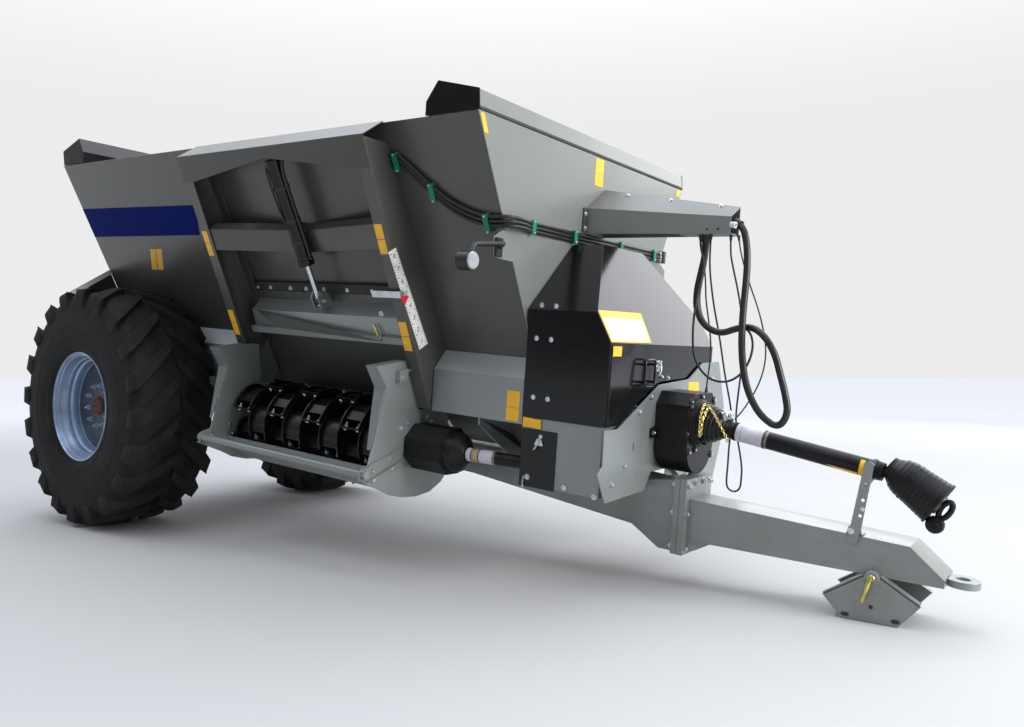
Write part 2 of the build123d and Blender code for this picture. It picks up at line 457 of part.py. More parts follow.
lamp = block(HOP_X0 - 50, HOP_X0 - 7, -930, -730, 1440, 1530)
mk = join([block(3170, 3184, -858, -815, 1822, 1908), rod((3184, -838, 1878), (3215, -860, 1878), 20, 15), rod((3215, -860, 1878), (3214, -1048, 1858), 12),
           rod((3214, -1048, 1862), (3210, -1080, 1796), 12), rod((3176, -1090, 1782), (3240, -1090, 1782), 42)])
place("lamps", group([mk, lamp, mirror_y(lamp)]))
# stay that carries the power shaft
rest = prism([(4590, -112, 690), (4630, -112, 690), (4644, -112, 770), (4672, -112, 1036), (4654, -112, 1050), (4634, -112, 1040), (4600, -112, 770)], (0, -6, 0))
hook = pipe((4620, 0, 1003), (4650, 0, 999), 52.0, 46.0) - block(4600, 4700, -60, 60, 1004, 1100)
reach = block(4628, 4654, -114, -40, 950, 956)
for hz in (812, 880, 948):
    rest = rest - rod((4634 + (hz - 812) * 0.09, -125, hz), (4634 + (hz - 812) * 0.09, -105, hz), 7)
place("pto_stay", join([rest, prism([(4634, -113, 940), (4660, -113, 940), (4660, -40, 962), (4634, -40, 962)], (0, 0, 6)), hook]))

# ---------------------------------------------------------------- power shaft
A, B = Vector(*PTO_A), Vector(*PTO_B)
along = (B - A).normalized()
pt = lambda d: tuple(A + along * d)
cross_a = rod((PTO_A[0], -38, PTO_A[2]), (PTO_A[0], 38, PTO_A[2]), 12)
place("pto_tube", join([rod(pt(0), pt(118), 21), cross_a, rod(pt(118), pt(760), 41)]))
cone = rod(pt(-20), pt(118), 88, 50) - rod(pt(-25), pt(112), 84, 45) - rod(pt(100), pt(125), 21.1)
place("pto_rear_bell", cone)
bend = math.radians(32.6)
fwd = Vector(math.cos(bend), 0, -math.sin(bend))
q = lambda d: tuple(B + fwd * d)
place("pto_front_bell", rod(q(-70), q(160), 46, 96) - rod(q(-75), q(165), 40.5, 93.0))
yoke = join([rod(q(38), q(172), 44), rod(q(0), q(45), 22), rod((PTO_B[0], -32, PTO_B[2]), (PTO_B[0], 32, PTO_B[2]), 11)]) - rod(q(90), q(180), 17.5)
place("pto_yoke", yoke)

# ---------------------------------------------------------------- skid foot (drawn square to the ground)
px, _, pz = to_row((SKID_X, 0, SKID_Z))
px -= SHIFT_X
pent = [(px - 201, 91), (px - 124, 0), (px + 99, 0), (px + 186, 99), (px + 24, pz + 14), (px - 24, pz + 14)]
foot = []
for s in (-1, 1):
    y0 = 126 if s > 0 else -134
    foot.append(prism_y(pent, y0, y0 + 8))
    foot.append(rod((px, y0, pz), (px, y0 + 8, pz), 30.0))
foot.append(block(px - 124, px + 99, -134, 134, 0, 8))
foot.append(rod((px, -150, pz), (px, 150, pz), 16.0))
place_row("skid_foot", join(foot))

# ---------------------------------------------------------------- wheels
tyre_prof = [(RIM_R + 6, -1142), (FLANGE_R + 4, -1142), (420, -1168), (560, -TYRE_OUT), (690, -1166), (772, -1128), (WHEEL_R, -1060), (WHEEL_R, -715), (772, -647),
             (690, -609), (560, -TYRE_IN), (420, -607), (FLANGE_R + 4, -633), (RIM_R + 6, -633), (RIM_R + 6, -668), (FLANGE_R + 6, -660), (430, -628), (560, -621), (680, -632), (738, -680),
             (745, -740), (745, -1035), (738, -1095), (680, -1143), (560, -1154), (430, -1147), (FLANGE_R + 6, -1115), (RIM_R + 6, -1107)]
rim_prof = [(RIM_R + 4, -1143.5), (FLANGE_R, -1143.5), (FLANGE_R, -1150), (RIM_R - 2, -1150), (RIM_R - 22, -1110), (RIM_R - 22, -1015), (150, -1000), (150, -990),
            (RIM_R - 30, -1000), (RIM_R - 30, -660), (RIM_R - 2, -625), (FLANGE_R, -625), (FLANGE_R, -631.5), (RIM_R + 4, -631.5), (RIM_R + 4, -660), (RIM_R - 20, -690), (RIM_R - 20, -1080), (RIM_R + 4, -1110)]
hub_prof = [(33.0, -1004), (33.0, -760), (70, -760), (80, -800), (80, -940), (148, -955), (148, -989.5), (92, -989.5), (92, -1004), (70, -1030), (33.0, -1030)]
hub_prof = [(32.06, -705), (60, -705), (78, -760), (78, -940), (146, -950), (146, -989), (150.5, -989), (150.5, -1001), (88, -1001), (80, -1026), (32.06, -1026)]
rim_prof = [p if p[0] != 150 else (151, p[1]) for p in rim_prof]
for side, m in (("right", False), ("left", True)):
    for nm, prof in (("tyre", tyre_prof), ("rim", rim_prof), ("hub", hub_prof)):
        s = ring_y(prof)
        place(f"{nm}_{side}", mirror_y(s) if m else s)

# ---------------------------------------------------------------- clipped hoses along the rim and across the front
# route on the side wall and front wall, each hose spaced from the next
HOSE_R = 9.0
WALL_RUN = [(2640, 2290), (2700, 2240), (2800, 2150), (2900, 2075), (3010, 2028)]     # (x, z) of the top hose on the side wall
FRONT_X = 3184.0


def hose(route, r, name):
    pts = [Vector(*p) for p in route]
    radii = []
    for a, b, c in zip(pts, pts[1:], pts[2:]):
        u, v = b - a, c - b
        turn = math.radians(u.get_angle(v))
        radii.append(0.45 * min(u.length, v.length) / math.tan(turn / 2))
    path = FilletPolyline(*pts, radius=radii)
    print(name, "radii", [round(x) for x in radii], "shortest run", round(min((b - a).length for a, b in zip(pts, pts[1:]))))
    start = Plane(origin=pts[0], z_dir=pts[1] - pts[0])
    s = sweep(start * Circle(r), path=path)
    want = math.pi * r * r * path.length
    if abs(s.volume - want) > 0.01 * want:
        print(name, "VOLUME", s.volume, want)
    print(name, "length", round(path.length))
    return s


hoses = []
for i, (dz, zf) in enumerate(((0, 2006), (-21, 1987), (-42, 1968))):
    rt = [(2590.3, wall_y(2290 + dz, 16), 2290 + dz)]
    rt += [(x, wall_y(z + dz, 16), z + dz) for x, z in WALL_RUN]
    yc = wall_y(zf, 18)
    rt += [(3105, yc, zf), (3188, yc, zf), (3222, yc + 42, zf), (3210, yc + 130, zf), (FRONT_X, yc + 215, zf), (FRONT_X, -480, zf)]
    rt += [(FRONT_X, y, zf) for y in (-250, 0, 250, 500, 766)]
    # leave out the corners of the straight stretch
    keep = [rt[0]]
    for a, b, c in zip(rt, rt[1:], rt[2:]):
        u, v = Vector(*b) - Vector(*a), Vector(*c) - Vector(*b)
        if u.get_angle(v) > 0.2:
            keep.append(b)
    keep.append(rt[-1])
    hoses.append(hose(keep, HOSE_R, f"clipped hose {i + 1}"))
place("clipped_hoses", group(hoses))
clamps = []
for x, z in ((2640, 2292), (2800, 2150), (2960, 2050)):
    clamps.append(wall_plate([(x - 12, z + 24), (x + 12, z + 24), (x + 12, z - 66), (x - 12, z - 66)], 26.5, 34))
bores = join([rod((FRONT_X, -700, zf), (FRONT_X, 766, zf), HOSE_R + 0.08) for zf in (2006, 1987, 1968)])
for y in (-480, -250, 0, 260, 500):
    clamps.append(block(HOP_X1 + 0.2, FRONT_X + 16, y - 13, y + 13, 1957, 2018.5) - bores)
clamps.append(block(HOP_X1 + 0.2, FRONT_X + 18, 766.3, 792, 1952, 2024))
place("hose_clamps", group(clamps))

# ---------------------------------------------------------------- free hoses from the arm's end
# they leave the arm and go back into the arm or into the gearbox guard
FREE_HOSES = {
    # name: (radius, [(x, y, z), ...])
    "hose_bundle": (16.0, [
        (3964, -48, 2068), (4005, -60, 2052), (4035, -72, 1967), (4048, -82, 1877), (4052, -90, 1786), (4051, -95, 1694), (4052, -98, 1603),
        (4056, -100, 1512), (4068, -102, 1421), (4089, -105, 1332), (4125, -106, 1248), (4181, -108, 1176), (4260, -111, 1135), (4300, -113, 1203),
        (4279, -111, 1292), (4248, -108, 1378), (4218, -105, 1465), (4167, -102, 1540), (4095, -70, 1583), (4012, -39, 1576), (3928, -38, 1541),
        (3845, -41, 1573), (3797, -43, 1649), (3792, -45, 1740), (3807, -45, 1830), (3823, -45, 1920), (3823, -45, 2009.8)]),
    "cable_a": (5.5, [
        (3803, -70, 2009.8), (3803, -70, 1963), (3829, -72, 1890), (3826, -73, 1813), (3811, -74, 1736), (3804, -75, 1659), (3801, -76, 1581),
        (3804, -76, 1504), (3816, -76, 1427), (3855, -76, 1360), (3919, -75, 1317), (3995, -70, 1316), (4053, -55, 1361), (4085, -48, 1431),
        (4091, -37, 1507), (4057, -20, 1573), (3986, -11, 1579), (3914, -9, 1553), (3843, -8, 1575), (3803, -8, 1641), (3791, -10, 1718),
        (3800, -12, 1795), (3815, -15, 1871), (3823, -18, 1948), (3823, -18, 2009.8)]),
    "cable_b": (4.5, [
        (3861, -82, 2009.8), (3861, -82, 1920), (3862, -66, 1832), (3866, -36, 1747), (3872, -5, 1663), (3882, 28, 1580), (3895, 50, 1494),
        (3910, 62, 1406), (3928, 70, 1318), (3951, 75, 1231), (3970, 78, 1144), (3968, 80, 1054), (3966, 80, 970), (3967, 81, 903), (3966, 80, 852),
        (3968, 80, 801), (3989, 80, 781), (4018, 80, 781), (4038, 80, 801), (4040, 80, 852), (4038, 81, 903), (4024, 80, 970), (4001, 80, 1055),
        (3989, 78, 1144), (3992, 76, 1234), (3998, 74, 1324), (4002, 67, 1413), (4005, 56, 1502), (4001, 41, 1591), (3992, 22, 1678),
        (3978, 0, 1765), (3960, -22, 1850), (3942, -37, 1937), (3942, -37, 2009.8)]),
    "cable_c": (4.0, [
        (3788, -6, 2009.8), (3788, -6, 1945), (3798, 14, 1868), (3802, 32, 1787), (3802, 48, 1713), (3809, 68, 1640), (3817, 88, 1568),
        (3822, 105, 1494), (3820, 118, 1420), (3812, 128, 1346), (3806, 132, 1300), (3806, 132, 1245.2)]),
    "cable_d": (3.5, [
        (3970, -14, 2009.8), (3982, -16, 1949), (4004, -18, 1883), (4029, -17, 1816), (4056, -15, 1750), (4084, -12, 1685), (4104, 2, 1618),
        (4116, 25, 1551), (4121, 49, 1485), (4116, 66, 1416), (4102, 72, 1346), (4077, 75, 1280), (4043, 80, 1217), (4004, 92, 1159),
        (3957, 108, 1110), (3895, 138, 1105), (3832.2, 138, 1105)]),
}
for name, (r, route) in FREE_HOSES.items():
    place(name, hose(route, r, name))

os.makedirs("parts", exist_ok=True)
lo = [1e9] * 3
hi = [-1e9] * 3
for name, s in NODES.items():
    bb = s.bounding_box()
    lo = [min(lo[0], bb.min.X), min(lo[1], bb.min.Y), min(lo[2], bb.min.Z)]
    hi = [max(hi[0], bb.max.X), max(hi[1], bb.max.Y), max(hi[2], bb.max.Z)]
    export_step(s, f"parts/{name}.step")
print("nodes", len(NODES), "box", [round(v, 2) for v in lo], [round(v, 2) for v in hi])
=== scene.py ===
import bpy
import bmesh
import json
import math
from mathutils import Matrix, Vector
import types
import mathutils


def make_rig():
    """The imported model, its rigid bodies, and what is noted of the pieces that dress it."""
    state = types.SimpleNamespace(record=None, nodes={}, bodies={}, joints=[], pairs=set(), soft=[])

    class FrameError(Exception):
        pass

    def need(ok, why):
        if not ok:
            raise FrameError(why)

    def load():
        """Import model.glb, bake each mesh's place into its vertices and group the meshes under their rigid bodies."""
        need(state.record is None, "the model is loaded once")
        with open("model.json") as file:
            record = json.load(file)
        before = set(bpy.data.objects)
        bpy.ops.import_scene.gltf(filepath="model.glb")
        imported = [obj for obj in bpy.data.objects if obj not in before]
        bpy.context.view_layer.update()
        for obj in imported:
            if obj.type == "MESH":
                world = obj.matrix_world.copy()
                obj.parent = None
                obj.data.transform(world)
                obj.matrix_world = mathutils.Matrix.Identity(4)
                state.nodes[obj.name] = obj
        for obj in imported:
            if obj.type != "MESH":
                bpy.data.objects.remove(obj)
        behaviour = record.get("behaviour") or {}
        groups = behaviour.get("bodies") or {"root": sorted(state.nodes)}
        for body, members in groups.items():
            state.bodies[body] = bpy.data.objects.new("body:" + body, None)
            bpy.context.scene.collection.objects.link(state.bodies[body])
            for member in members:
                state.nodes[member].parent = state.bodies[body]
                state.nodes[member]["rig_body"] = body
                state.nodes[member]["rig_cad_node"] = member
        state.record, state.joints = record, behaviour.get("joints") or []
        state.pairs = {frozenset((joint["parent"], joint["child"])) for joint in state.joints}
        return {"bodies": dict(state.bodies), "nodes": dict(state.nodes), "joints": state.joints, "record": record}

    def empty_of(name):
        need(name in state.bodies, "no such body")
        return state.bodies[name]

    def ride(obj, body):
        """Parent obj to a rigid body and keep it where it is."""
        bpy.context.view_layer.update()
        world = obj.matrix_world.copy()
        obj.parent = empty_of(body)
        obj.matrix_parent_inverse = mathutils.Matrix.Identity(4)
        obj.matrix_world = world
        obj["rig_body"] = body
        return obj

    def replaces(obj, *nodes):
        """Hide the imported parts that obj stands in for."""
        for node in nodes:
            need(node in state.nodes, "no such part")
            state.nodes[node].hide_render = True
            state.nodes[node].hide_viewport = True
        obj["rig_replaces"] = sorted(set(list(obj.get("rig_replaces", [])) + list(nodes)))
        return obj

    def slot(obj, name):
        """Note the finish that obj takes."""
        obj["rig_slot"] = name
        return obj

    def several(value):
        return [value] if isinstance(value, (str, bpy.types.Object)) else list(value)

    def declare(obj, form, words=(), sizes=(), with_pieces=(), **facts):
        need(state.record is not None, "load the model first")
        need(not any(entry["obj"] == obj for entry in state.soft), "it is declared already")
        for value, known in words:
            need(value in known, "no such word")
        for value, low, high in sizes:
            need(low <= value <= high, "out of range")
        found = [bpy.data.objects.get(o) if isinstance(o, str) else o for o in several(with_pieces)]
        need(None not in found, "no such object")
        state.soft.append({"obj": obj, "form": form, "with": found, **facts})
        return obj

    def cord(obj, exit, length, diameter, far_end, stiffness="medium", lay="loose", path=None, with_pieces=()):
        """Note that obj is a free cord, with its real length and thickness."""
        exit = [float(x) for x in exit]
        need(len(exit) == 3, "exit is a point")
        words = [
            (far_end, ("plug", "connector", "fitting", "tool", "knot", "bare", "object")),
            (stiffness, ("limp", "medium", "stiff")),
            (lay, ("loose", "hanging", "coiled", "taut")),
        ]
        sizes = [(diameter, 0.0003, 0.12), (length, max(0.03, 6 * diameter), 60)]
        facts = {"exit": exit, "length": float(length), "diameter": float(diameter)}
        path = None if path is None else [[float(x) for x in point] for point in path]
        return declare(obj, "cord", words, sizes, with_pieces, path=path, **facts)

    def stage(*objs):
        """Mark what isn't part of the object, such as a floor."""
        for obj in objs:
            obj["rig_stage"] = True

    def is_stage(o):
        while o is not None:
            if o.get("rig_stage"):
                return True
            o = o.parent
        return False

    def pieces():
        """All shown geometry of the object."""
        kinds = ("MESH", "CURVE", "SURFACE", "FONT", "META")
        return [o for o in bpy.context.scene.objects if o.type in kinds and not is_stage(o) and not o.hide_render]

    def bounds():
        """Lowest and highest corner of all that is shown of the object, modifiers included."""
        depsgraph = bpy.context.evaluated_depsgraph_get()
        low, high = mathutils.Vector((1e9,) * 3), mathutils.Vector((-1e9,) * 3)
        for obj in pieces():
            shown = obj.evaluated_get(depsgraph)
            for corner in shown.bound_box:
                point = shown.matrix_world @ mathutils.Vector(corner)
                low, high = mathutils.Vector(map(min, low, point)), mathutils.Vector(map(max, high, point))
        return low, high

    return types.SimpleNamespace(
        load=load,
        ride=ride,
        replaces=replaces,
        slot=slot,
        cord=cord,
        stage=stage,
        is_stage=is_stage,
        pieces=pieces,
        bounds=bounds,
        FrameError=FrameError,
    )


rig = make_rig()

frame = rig.load()
CAD_LO, CAD_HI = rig.bounds()
NODES = frame["nodes"]
SCENE = bpy.context.scene

# ---------------------------------------------------------------- frames
# Pieces are drawn square to the machine, in millimetres, and T() takes a point to the row frame, in metres.
PITCH = math.radians(4.62)
CO, SI = math.cos(PITCH), math.sin(PITCH)
SHIFT = -((5020.0 * CO + (594.0 - 800.0) * SI + 65.0) - 800.0) / 2.0


def T(p):
    x, y, z = p
    return Vector(((x * CO + (z - 800.0) * SI + SHIFT) / 1000.0, y / 1000.0, (800.0 + (z - 800.0) * CO - x * SI) / 1000.0))


def U(c):
    """Point in the row frame, in metres, back to machine millimetres."""
    x, z = c[0] * 1000.0 - SHIFT, c[2] * 1000.0 - 800.0
    return Vector((x * CO - z * SI, c[1] * 1000.0, 800.0 + x * SI + z * CO))


def TV(v):
    x, y, z = v
    return Vector((x * CO + z * SI, y, z * CO - x * SI))


# ---------------------------------------------------------------- camera
AZ, EL, ROLL = math.radians(36.418), math.radians(2.764), math.radians(3.678)
back = Vector((math.sin(AZ) * math.cos(EL), -math.cos(AZ) * math.cos(EL), math.sin(EL)))
fwd = -back
right = fwd.cross(Vector((0, 0, 1))).normalized()
up = right.cross(fwd)
r2 = math.cos(ROLL) * right + math.sin(ROLL) * up
u2 = -math.sin(ROLL) * right + math.cos(ROLL) * up
cam_data = bpy.data.cameras.new("camera")
cam = bpy.data.objects.new("camera", cam_data)
SCENE.collection.objects.link(cam)
cx, cy, cz = TV(r2), TV(u2), TV(back)
pos = T((5429.5, -3732.2, 1523.3))
cam.matrix_world = Matrix(((cx.x, cy.x, cz.x, pos.x), (cx.y, cy.y, cz.y, pos.y), (cx.z, cy.z, cz.z, pos.z), (0, 0, 0, 1)))
cam_data.sensor_fit = "HORIZONTAL"
cam_data.sensor_width = 36.0
cam_data.lens = 28.436
cam_data.clip_start, cam_data.clip_end = 0.05, 200.0
SCENE.camera = cam


# ---------------------------------------------------------------- materials
def srgb(r, g, b):
    def one(c):
        c /= 255.0
        return c / 12.92 if c <= 0.04045 else ((c + 0.055) / 1.055) ** 2.4
    return (one(r), one(g), one(b), 1.0)


class Mat:
    """A procedural material: base colour with broad and fine variation, dust, roughness and bump from noise."""

    def __init__(self, name, base, metallic=0.0, rough=0.5, rough_var=0.08, var=0.08, var_scale=1.6, fine=0.05, fine_scale=60.0,
                 dust=None, dust_amount=0.0, dust_scale=5.0, dust_low=None, bump=0.0, bump_scale=80.0, coat=0.0, coat_rough=0.12, spec=0.5,
                 wear=None, wear_amount=0.0, streak=0.0, edge=None, edge_amount=0.0):
        m = bpy.data.materials.new(name)
        m.use_nodes = True
        nt = m.node_tree
        b = nt.nodes["Principled BSDF"]
        b.inputs["Metallic"].default_value = metallic
        b.inputs["Specular IOR Level"].default_value = spec
        b.inputs["Coat Weight"].default_value = coat
        b.inputs["Coat Roughness"].default_value = coat_rough
        self.m, self.nt, self.b = m, nt, b
        tc = nt.nodes.new("ShaderNodeTexCoord")
        self.co = tc.outputs["Object"]
        broad = self.noise(var_scale, 3.0, 0.55)
        small = self.noise(fine_scale, 4.0, 0.6)
        lo = tuple(c * (1 - var) for c in base[:3]) + (1,)
        hi = tuple(min(1.0, c * (1 + var)) for c in base[:3]) + (1,)
        col = self.mix(self.spread(broad, 0.35, 0.65), lo, hi)
        if fine:
            lo2 = (1 - fine,) * 3 + (1,)
            hi2 = (1 + fine,) * 3 + (1,)
            tone = self.mix(small, lo2, hi2)
            col = self.mix(1.0, col, tone, "MULTIPLY")
        if streak:
            mp = nt.nodes.new("ShaderNodeMapping")
            mp.inputs["Scale"].default_value = (9.0, 9.0, 0.7)
            nt.links.new(self.co, mp.inputs["Vector"])
            st = self.noise(1.6, 5.0, 0.6, mp.outputs["Vector"])
            s2 = self.spread(st, 0.5, 0.78)
            dark = tuple(c * 0.72 for c in base[:3]) + (1,)
            f = self.math("MULTIPLY", s2, streak)
            col = self.mix(f, col, dark)
        if wear is not None:
            wn = self.noise(22.0, 6.0, 0.7)
            wf = self.math("MULTIPLY", self.spread(wn, 0.60, 0.72), wear_amount)
            col = self.mix(wf, col, wear)
        if edge is not None:
            geo = nt.nodes.new("ShaderNodeNewGeometry")
            bv = nt.nodes.new("ShaderNodeBevel")
            bv.samples = 4
            bv.inputs["Radius"].default_value = 0.004
            dt = nt.nodes.new("ShaderNodeVectorMath")
            dt.operation = "DOT_PRODUCT"
            nt.links.new(geo.outputs["Normal"], dt.inputs[0])
            nt.links.new(bv.outputs["Normal"], dt.inputs[1])
            ef = self.spread(dt.outputs["Value"], 0.985, 0.90)
            en = self.spread(self.noise(45.0, 4.0, 0.6), 0.42, 0.62)
            ef = self.math("MULTIPLY", self.math("MULTIPLY", ef, en), edge_amount)
            col = self.mix(ef, col, edge)
        if dust is not None:
            dn = self.spread(self.noise(dust_scale, 6.0, 0.62), 0.38, 0.68)
            f = self.math("MULTIPLY", dn, dust_amount)
            if dust_low is not None:
                sep = nt.nodes.new("ShaderNodeSeparateXYZ")
                nt.links.new(self.co, sep.inputs[0])
                g = self.spread(sep.outputs["Z"], dust_low[1], dust_low[0])
                f = self.math("MULTIPLY", f, g)
            col = self.mix(f, col, dust)
            r = self.math("ADD", self.rough_of(small, broad, rough, rough_var), self.math("MULTIPLY", f, 0.35))
        else:
            r = self.rough_of(small, broad, rough, rough_var)
        nt.links.new(col, b.inputs["Base Color"])
        nt.links.new(r, b.inputs["Roughness"])
        if bump:
            bn = self.noise(bump_scale, 3.0, 0.55)
            bp = nt.nodes.new("ShaderNodeBump")
            bp.inputs["Strength"].default_value = 1.0
            bp.inputs["Distance"].default_value = bump
            nt.links.new(bn, bp.inputs["Height"])
            nt.links.new(bp.outputs["Normal"], b.inputs["Normal"])

    def noise(self, scale, detail=3.0, rough=0.5, vec=None):
        n = self.nt.nodes.new("ShaderNodeTexNoise")
        n.inputs["Scale"].default_value = scale
        n.inputs["Detail"].default_value = detail
        n.inputs["Roughness"].default_value = rough
        self.nt.links.new(vec if vec is not None else self.co, n.inputs["Vector"])
        return n.outputs["Fac"]

    def spread(self, value, a, b):
        n = self.nt.nodes.new("ShaderNodeMapRange")
        n.inputs["From Min"].default_value = a
        n.inputs["From Max"].default_value = b
        self.nt.links.new(value, n.inputs["Value"])
        return n.outputs["Result"]

    def math(self, op, a, b):
        n = self.nt.nodes.new("ShaderNodeMath")
        n.operation = op
        for i, v in enumerate((a, b)):
            if isinstance(v, (int, float)):
                n.inputs[i].default_value = v
            else:
                self.nt.links.new(v, n.inputs[i])
        return n.outputs[0]

    def mix(self, f, a, b, blend="MIX"):
        n = self.nt.nodes.new("ShaderNodeMix")
        n.data_type = "RGBA"
        n.blend_type = blend
        n.clamp_result = False
        if isinstance(f, (int, float)):
            n.inputs["Factor"].default_value = f
        else:
            self.nt.links.new(f, n.inputs["Factor"])
        for sock, v in ((n.inputs[6], a), (n.inputs[7], b)):
            if isinstance(v, tuple):
                sock.default_value = v
            else:
                self.nt.links.new(v, sock)
        return n.outputs[2]

    def rough_of(self, small, broad, rough, var):
        n = self.nt.nodes.new("ShaderNodeMapRange")
        n.inputs["From Min"].default_value = 0.3
        n.inputs["From Max"].default_value = 0.7
        n.inputs["To Min"].default_value = max(0.02, rough - var)
        n.inputs["To Max"].default_value = min(1.0, rough + var)
        self.nt.links.new(self.math("MULTIPLY", self.math("ADD", small, broad), 0.5), n.inputs["Value"])
        return n.outputs["Result"]


EARTH = srgb(112, 92, 70)
# darker copy of the grey paint for the hopper's side and rear walls, posts, canopy, beams and boards: painted shade;
# the dust and streaks on it are real
PAINT_SHADED = Mat("metallic_grey_paint_shaded_copy", srgb(82, 83, 79), metallic=0.40, rough=0.36, rough_var=0.06, var=0.04, var_scale=1.1, fine=0.05, fine_scale=420.0,
            dust=srgb(98, 92, 82), dust_amount=0.24, dust_scale=3.2, dust_low=(0.15, 1.5), bump=0.00025, bump_scale=38.0, coat=0.15, coat_rough=0.12, streak=0.10).m
# duller, darker copy of the grey paint for most of the hose arm: painted shade, with less sheen on its top
PAINT_ARM_SHADED = Mat("metallic_grey_paint_arm_shaded_copy", srgb(108, 112, 112), metallic=0.2, rough=0.5, rough_var=0.06, var=0.04, var_scale=1.1, fine=0.05, fine_scale=420.0,
                dust=srgb(118, 116, 108), dust_amount=0.20, dust_scale=3.2, bump=0.00025, bump_scale=38.0, coat=0.0).m
# lighter copy of the grey paint for the front wall, front lid, hose arm edge, deflector edge and board lips, faces that
# catch the light: painted light; the dust and streaks on it are real
PAINT_LIT = Mat("metallic_grey_paint_lit_copy", srgb(135, 138, 134), metallic=0.42, rough=0.36, rough_var=0.06, var=0.04, var_scale=1.1, fine=0.05, fine_scale=420.0,
                dust=srgb(118, 116, 108), dust_amount=0.20, dust_scale=3.2, dust_low=(0.15, 1.5), bump=0.00025, bump_scale=38.0, coat=0.35, coat_rough=0.10, streak=0.10).m
# lighter copy of the grey paint for the chassis, rails and rotor plates low under the hopper: painted light over their
# shade; the earth dust, heavier low down, and the worn edges are real
PAINT_LOW_LIGHTENED = Mat("metallic_grey_paint_low_lightened", srgb(139, 145, 144), metallic=0.45, rough=0.38, rough_var=0.08, var=0.05, var_scale=1.6, fine=0.05, fine_scale=300.0,
                dust=EARTH, dust_amount=0.30, dust_scale=6.0, dust_low=(0.05, 0.95), bump=0.0003, bump_scale=45.0, coat=0.3, coat_rough=0.14,
                edge=srgb(96, 90, 84), edge_amount=0.5).m
# still lighter copy of the grey paint for the rails' upward faces: painted skylight
PAINT_RAIL_TOP_LIT = Mat("metallic_grey_paint_rail_top_lit", srgb(176, 182, 183), metallic=0.35, rough=0.40, rough_var=0.08, var=0.05, var_scale=1.6, fine=0.05, fine_scale=300.0,
                 dust=EARTH, dust_amount=0.25, dust_scale=6.0, dust_low=(0.05, 0.95), bump=0.0003, bump_scale=45.0, coat=0.3, coat_rough=0.14).m
INSIDE = Mat("hopper_inside", srgb(104, 108, 106), metallic=0.45, rough=0.42, var=0.1, fine=0.06, dust=srgb(96, 82, 64), dust_amount=0.4, dust_scale=2.2, bump=0.0004, bump_scale=30.0).m
BLACK = Mat("gloss_black_paint", (0.006, 0.0062, 0.007, 1), rough=0.17, rough_var=0.05, var=0.2, fine=0.15, fine_scale=300.0, dust=srgb(92, 88, 80), dust_amount=0.02,
            dust_scale=7.0, bump=0.0003, bump_scale=26.0, coat=0.09, coat_rough=0.08, spec=0.28).m
ROTOR_BLACK = Mat("rotor_black_paint", (0.004, 0.0042, 0.005, 1), rough=0.30, rough_var=0.06, var=0.2, fine=0.15, fine_scale=300.0, dust=srgb(92, 88, 80), dust_amount=0.03,
                 dust_scale=7.0, bump=0.0003, bump_scale=26.0, coat=0.1, coat_rough=0.1, spec=0.3).m
SATIN = Mat("satin_black", (0.009, 0.0092, 0.0095, 1), rough=0.42, rough_var=0.1, var=0.2, fine=0.2, fine_scale=90.0, dust=srgb(96, 86, 72), dust_amount=0.05,
            dust_scale=9.0, bump=0.0004, bump_scale=70.0, spec=0.5).m
PLASTIC = Mat("black_guard_plastic", (0.007, 0.0072, 0.0085, 1), rough=0.38, rough_var=0.1, var=0.2, fine=0.15, fine_scale=160.0, dust=srgb(98, 90, 78), dust_amount=0.04,
              dust_scale=11.0, bump=0.0005, bump_scale=120.0, spec=0.24).m
# darker copy of the grey paint for the canopy's lower fascia: painted shade
PAINT_FACE_SHADED = Mat("metallic_grey_paint_face_shaded", srgb(66, 66, 63), metallic=0.40, rough=0.36, rough_var=0.06, var=0.04, var_scale=1.1, fine=0.05, fine_scale=420.0,
                 dust=srgb(98, 92, 82), dust_amount=0.2, dust_scale=3.2, bump=0.00025, bump_scale=38.0, coat=0.15, coat_rough=0.12).m
ZINC = Mat("zinc_plate", srgb(214, 218, 224), metallic=1.0, rough=0.28, rough_var=0.12, var=0.12, var_scale=14.0, fine=0.12, fine_scale=200.0, dust=srgb(120, 110, 92),
           dust_amount=0.10, dust_scale=30.0, bump=0.0002, bump_scale=260.0).m
BRASS = Mat("yellow_zinc", srgb(214, 196, 120), metallic=1.0, rough=0.34, rough_var=0.1, var=0.2, var_scale=18.0, fine=0.1, bump=0.0002, bump_scale=200.0).m
CHROME = Mat("rod_chrome", srgb(206, 208, 210), metallic=1.0, rough=0.12, rough_var=0.04, var=0.04, fine=0.04, fine_scale=240.0, dust=srgb(150, 145, 132), dust_amount=0.12, dust_scale=24.0).m
WORN = Mat("worn_steel", srgb(126, 120, 112), metallic=0.85, rough=0.45, rough_var=0.14, var=0.2, var_scale=6.0, fine=0.15, fine_scale=90.0, wear=srgb(96, 62, 40), wear_amount=0.5,
           bump=0.0006, bump_scale=60.0).m
RUST = Mat("rusty_hub", srgb(98, 62, 42), metallic=0.3, rough=0.7, rough_var=0.12, var=0.25, var_scale=20.0, fine=0.2, fine_scale=140.0, wear=srgb(60, 44, 36), wear_amount=0.7,
           bump=0.0012, bump_scale=120.0).m
HOSE = Mat("hose_rubber", (0.009, 0.009, 0.0095, 1), rough=0.42, rough_var=0.1, var=0.2, var_scale=10.0, fine=0.1, dust=srgb(90, 86, 78), dust_amount=0.05, dust_scale=14.0,
           bump=0.0002, bump_scale=300.0).m
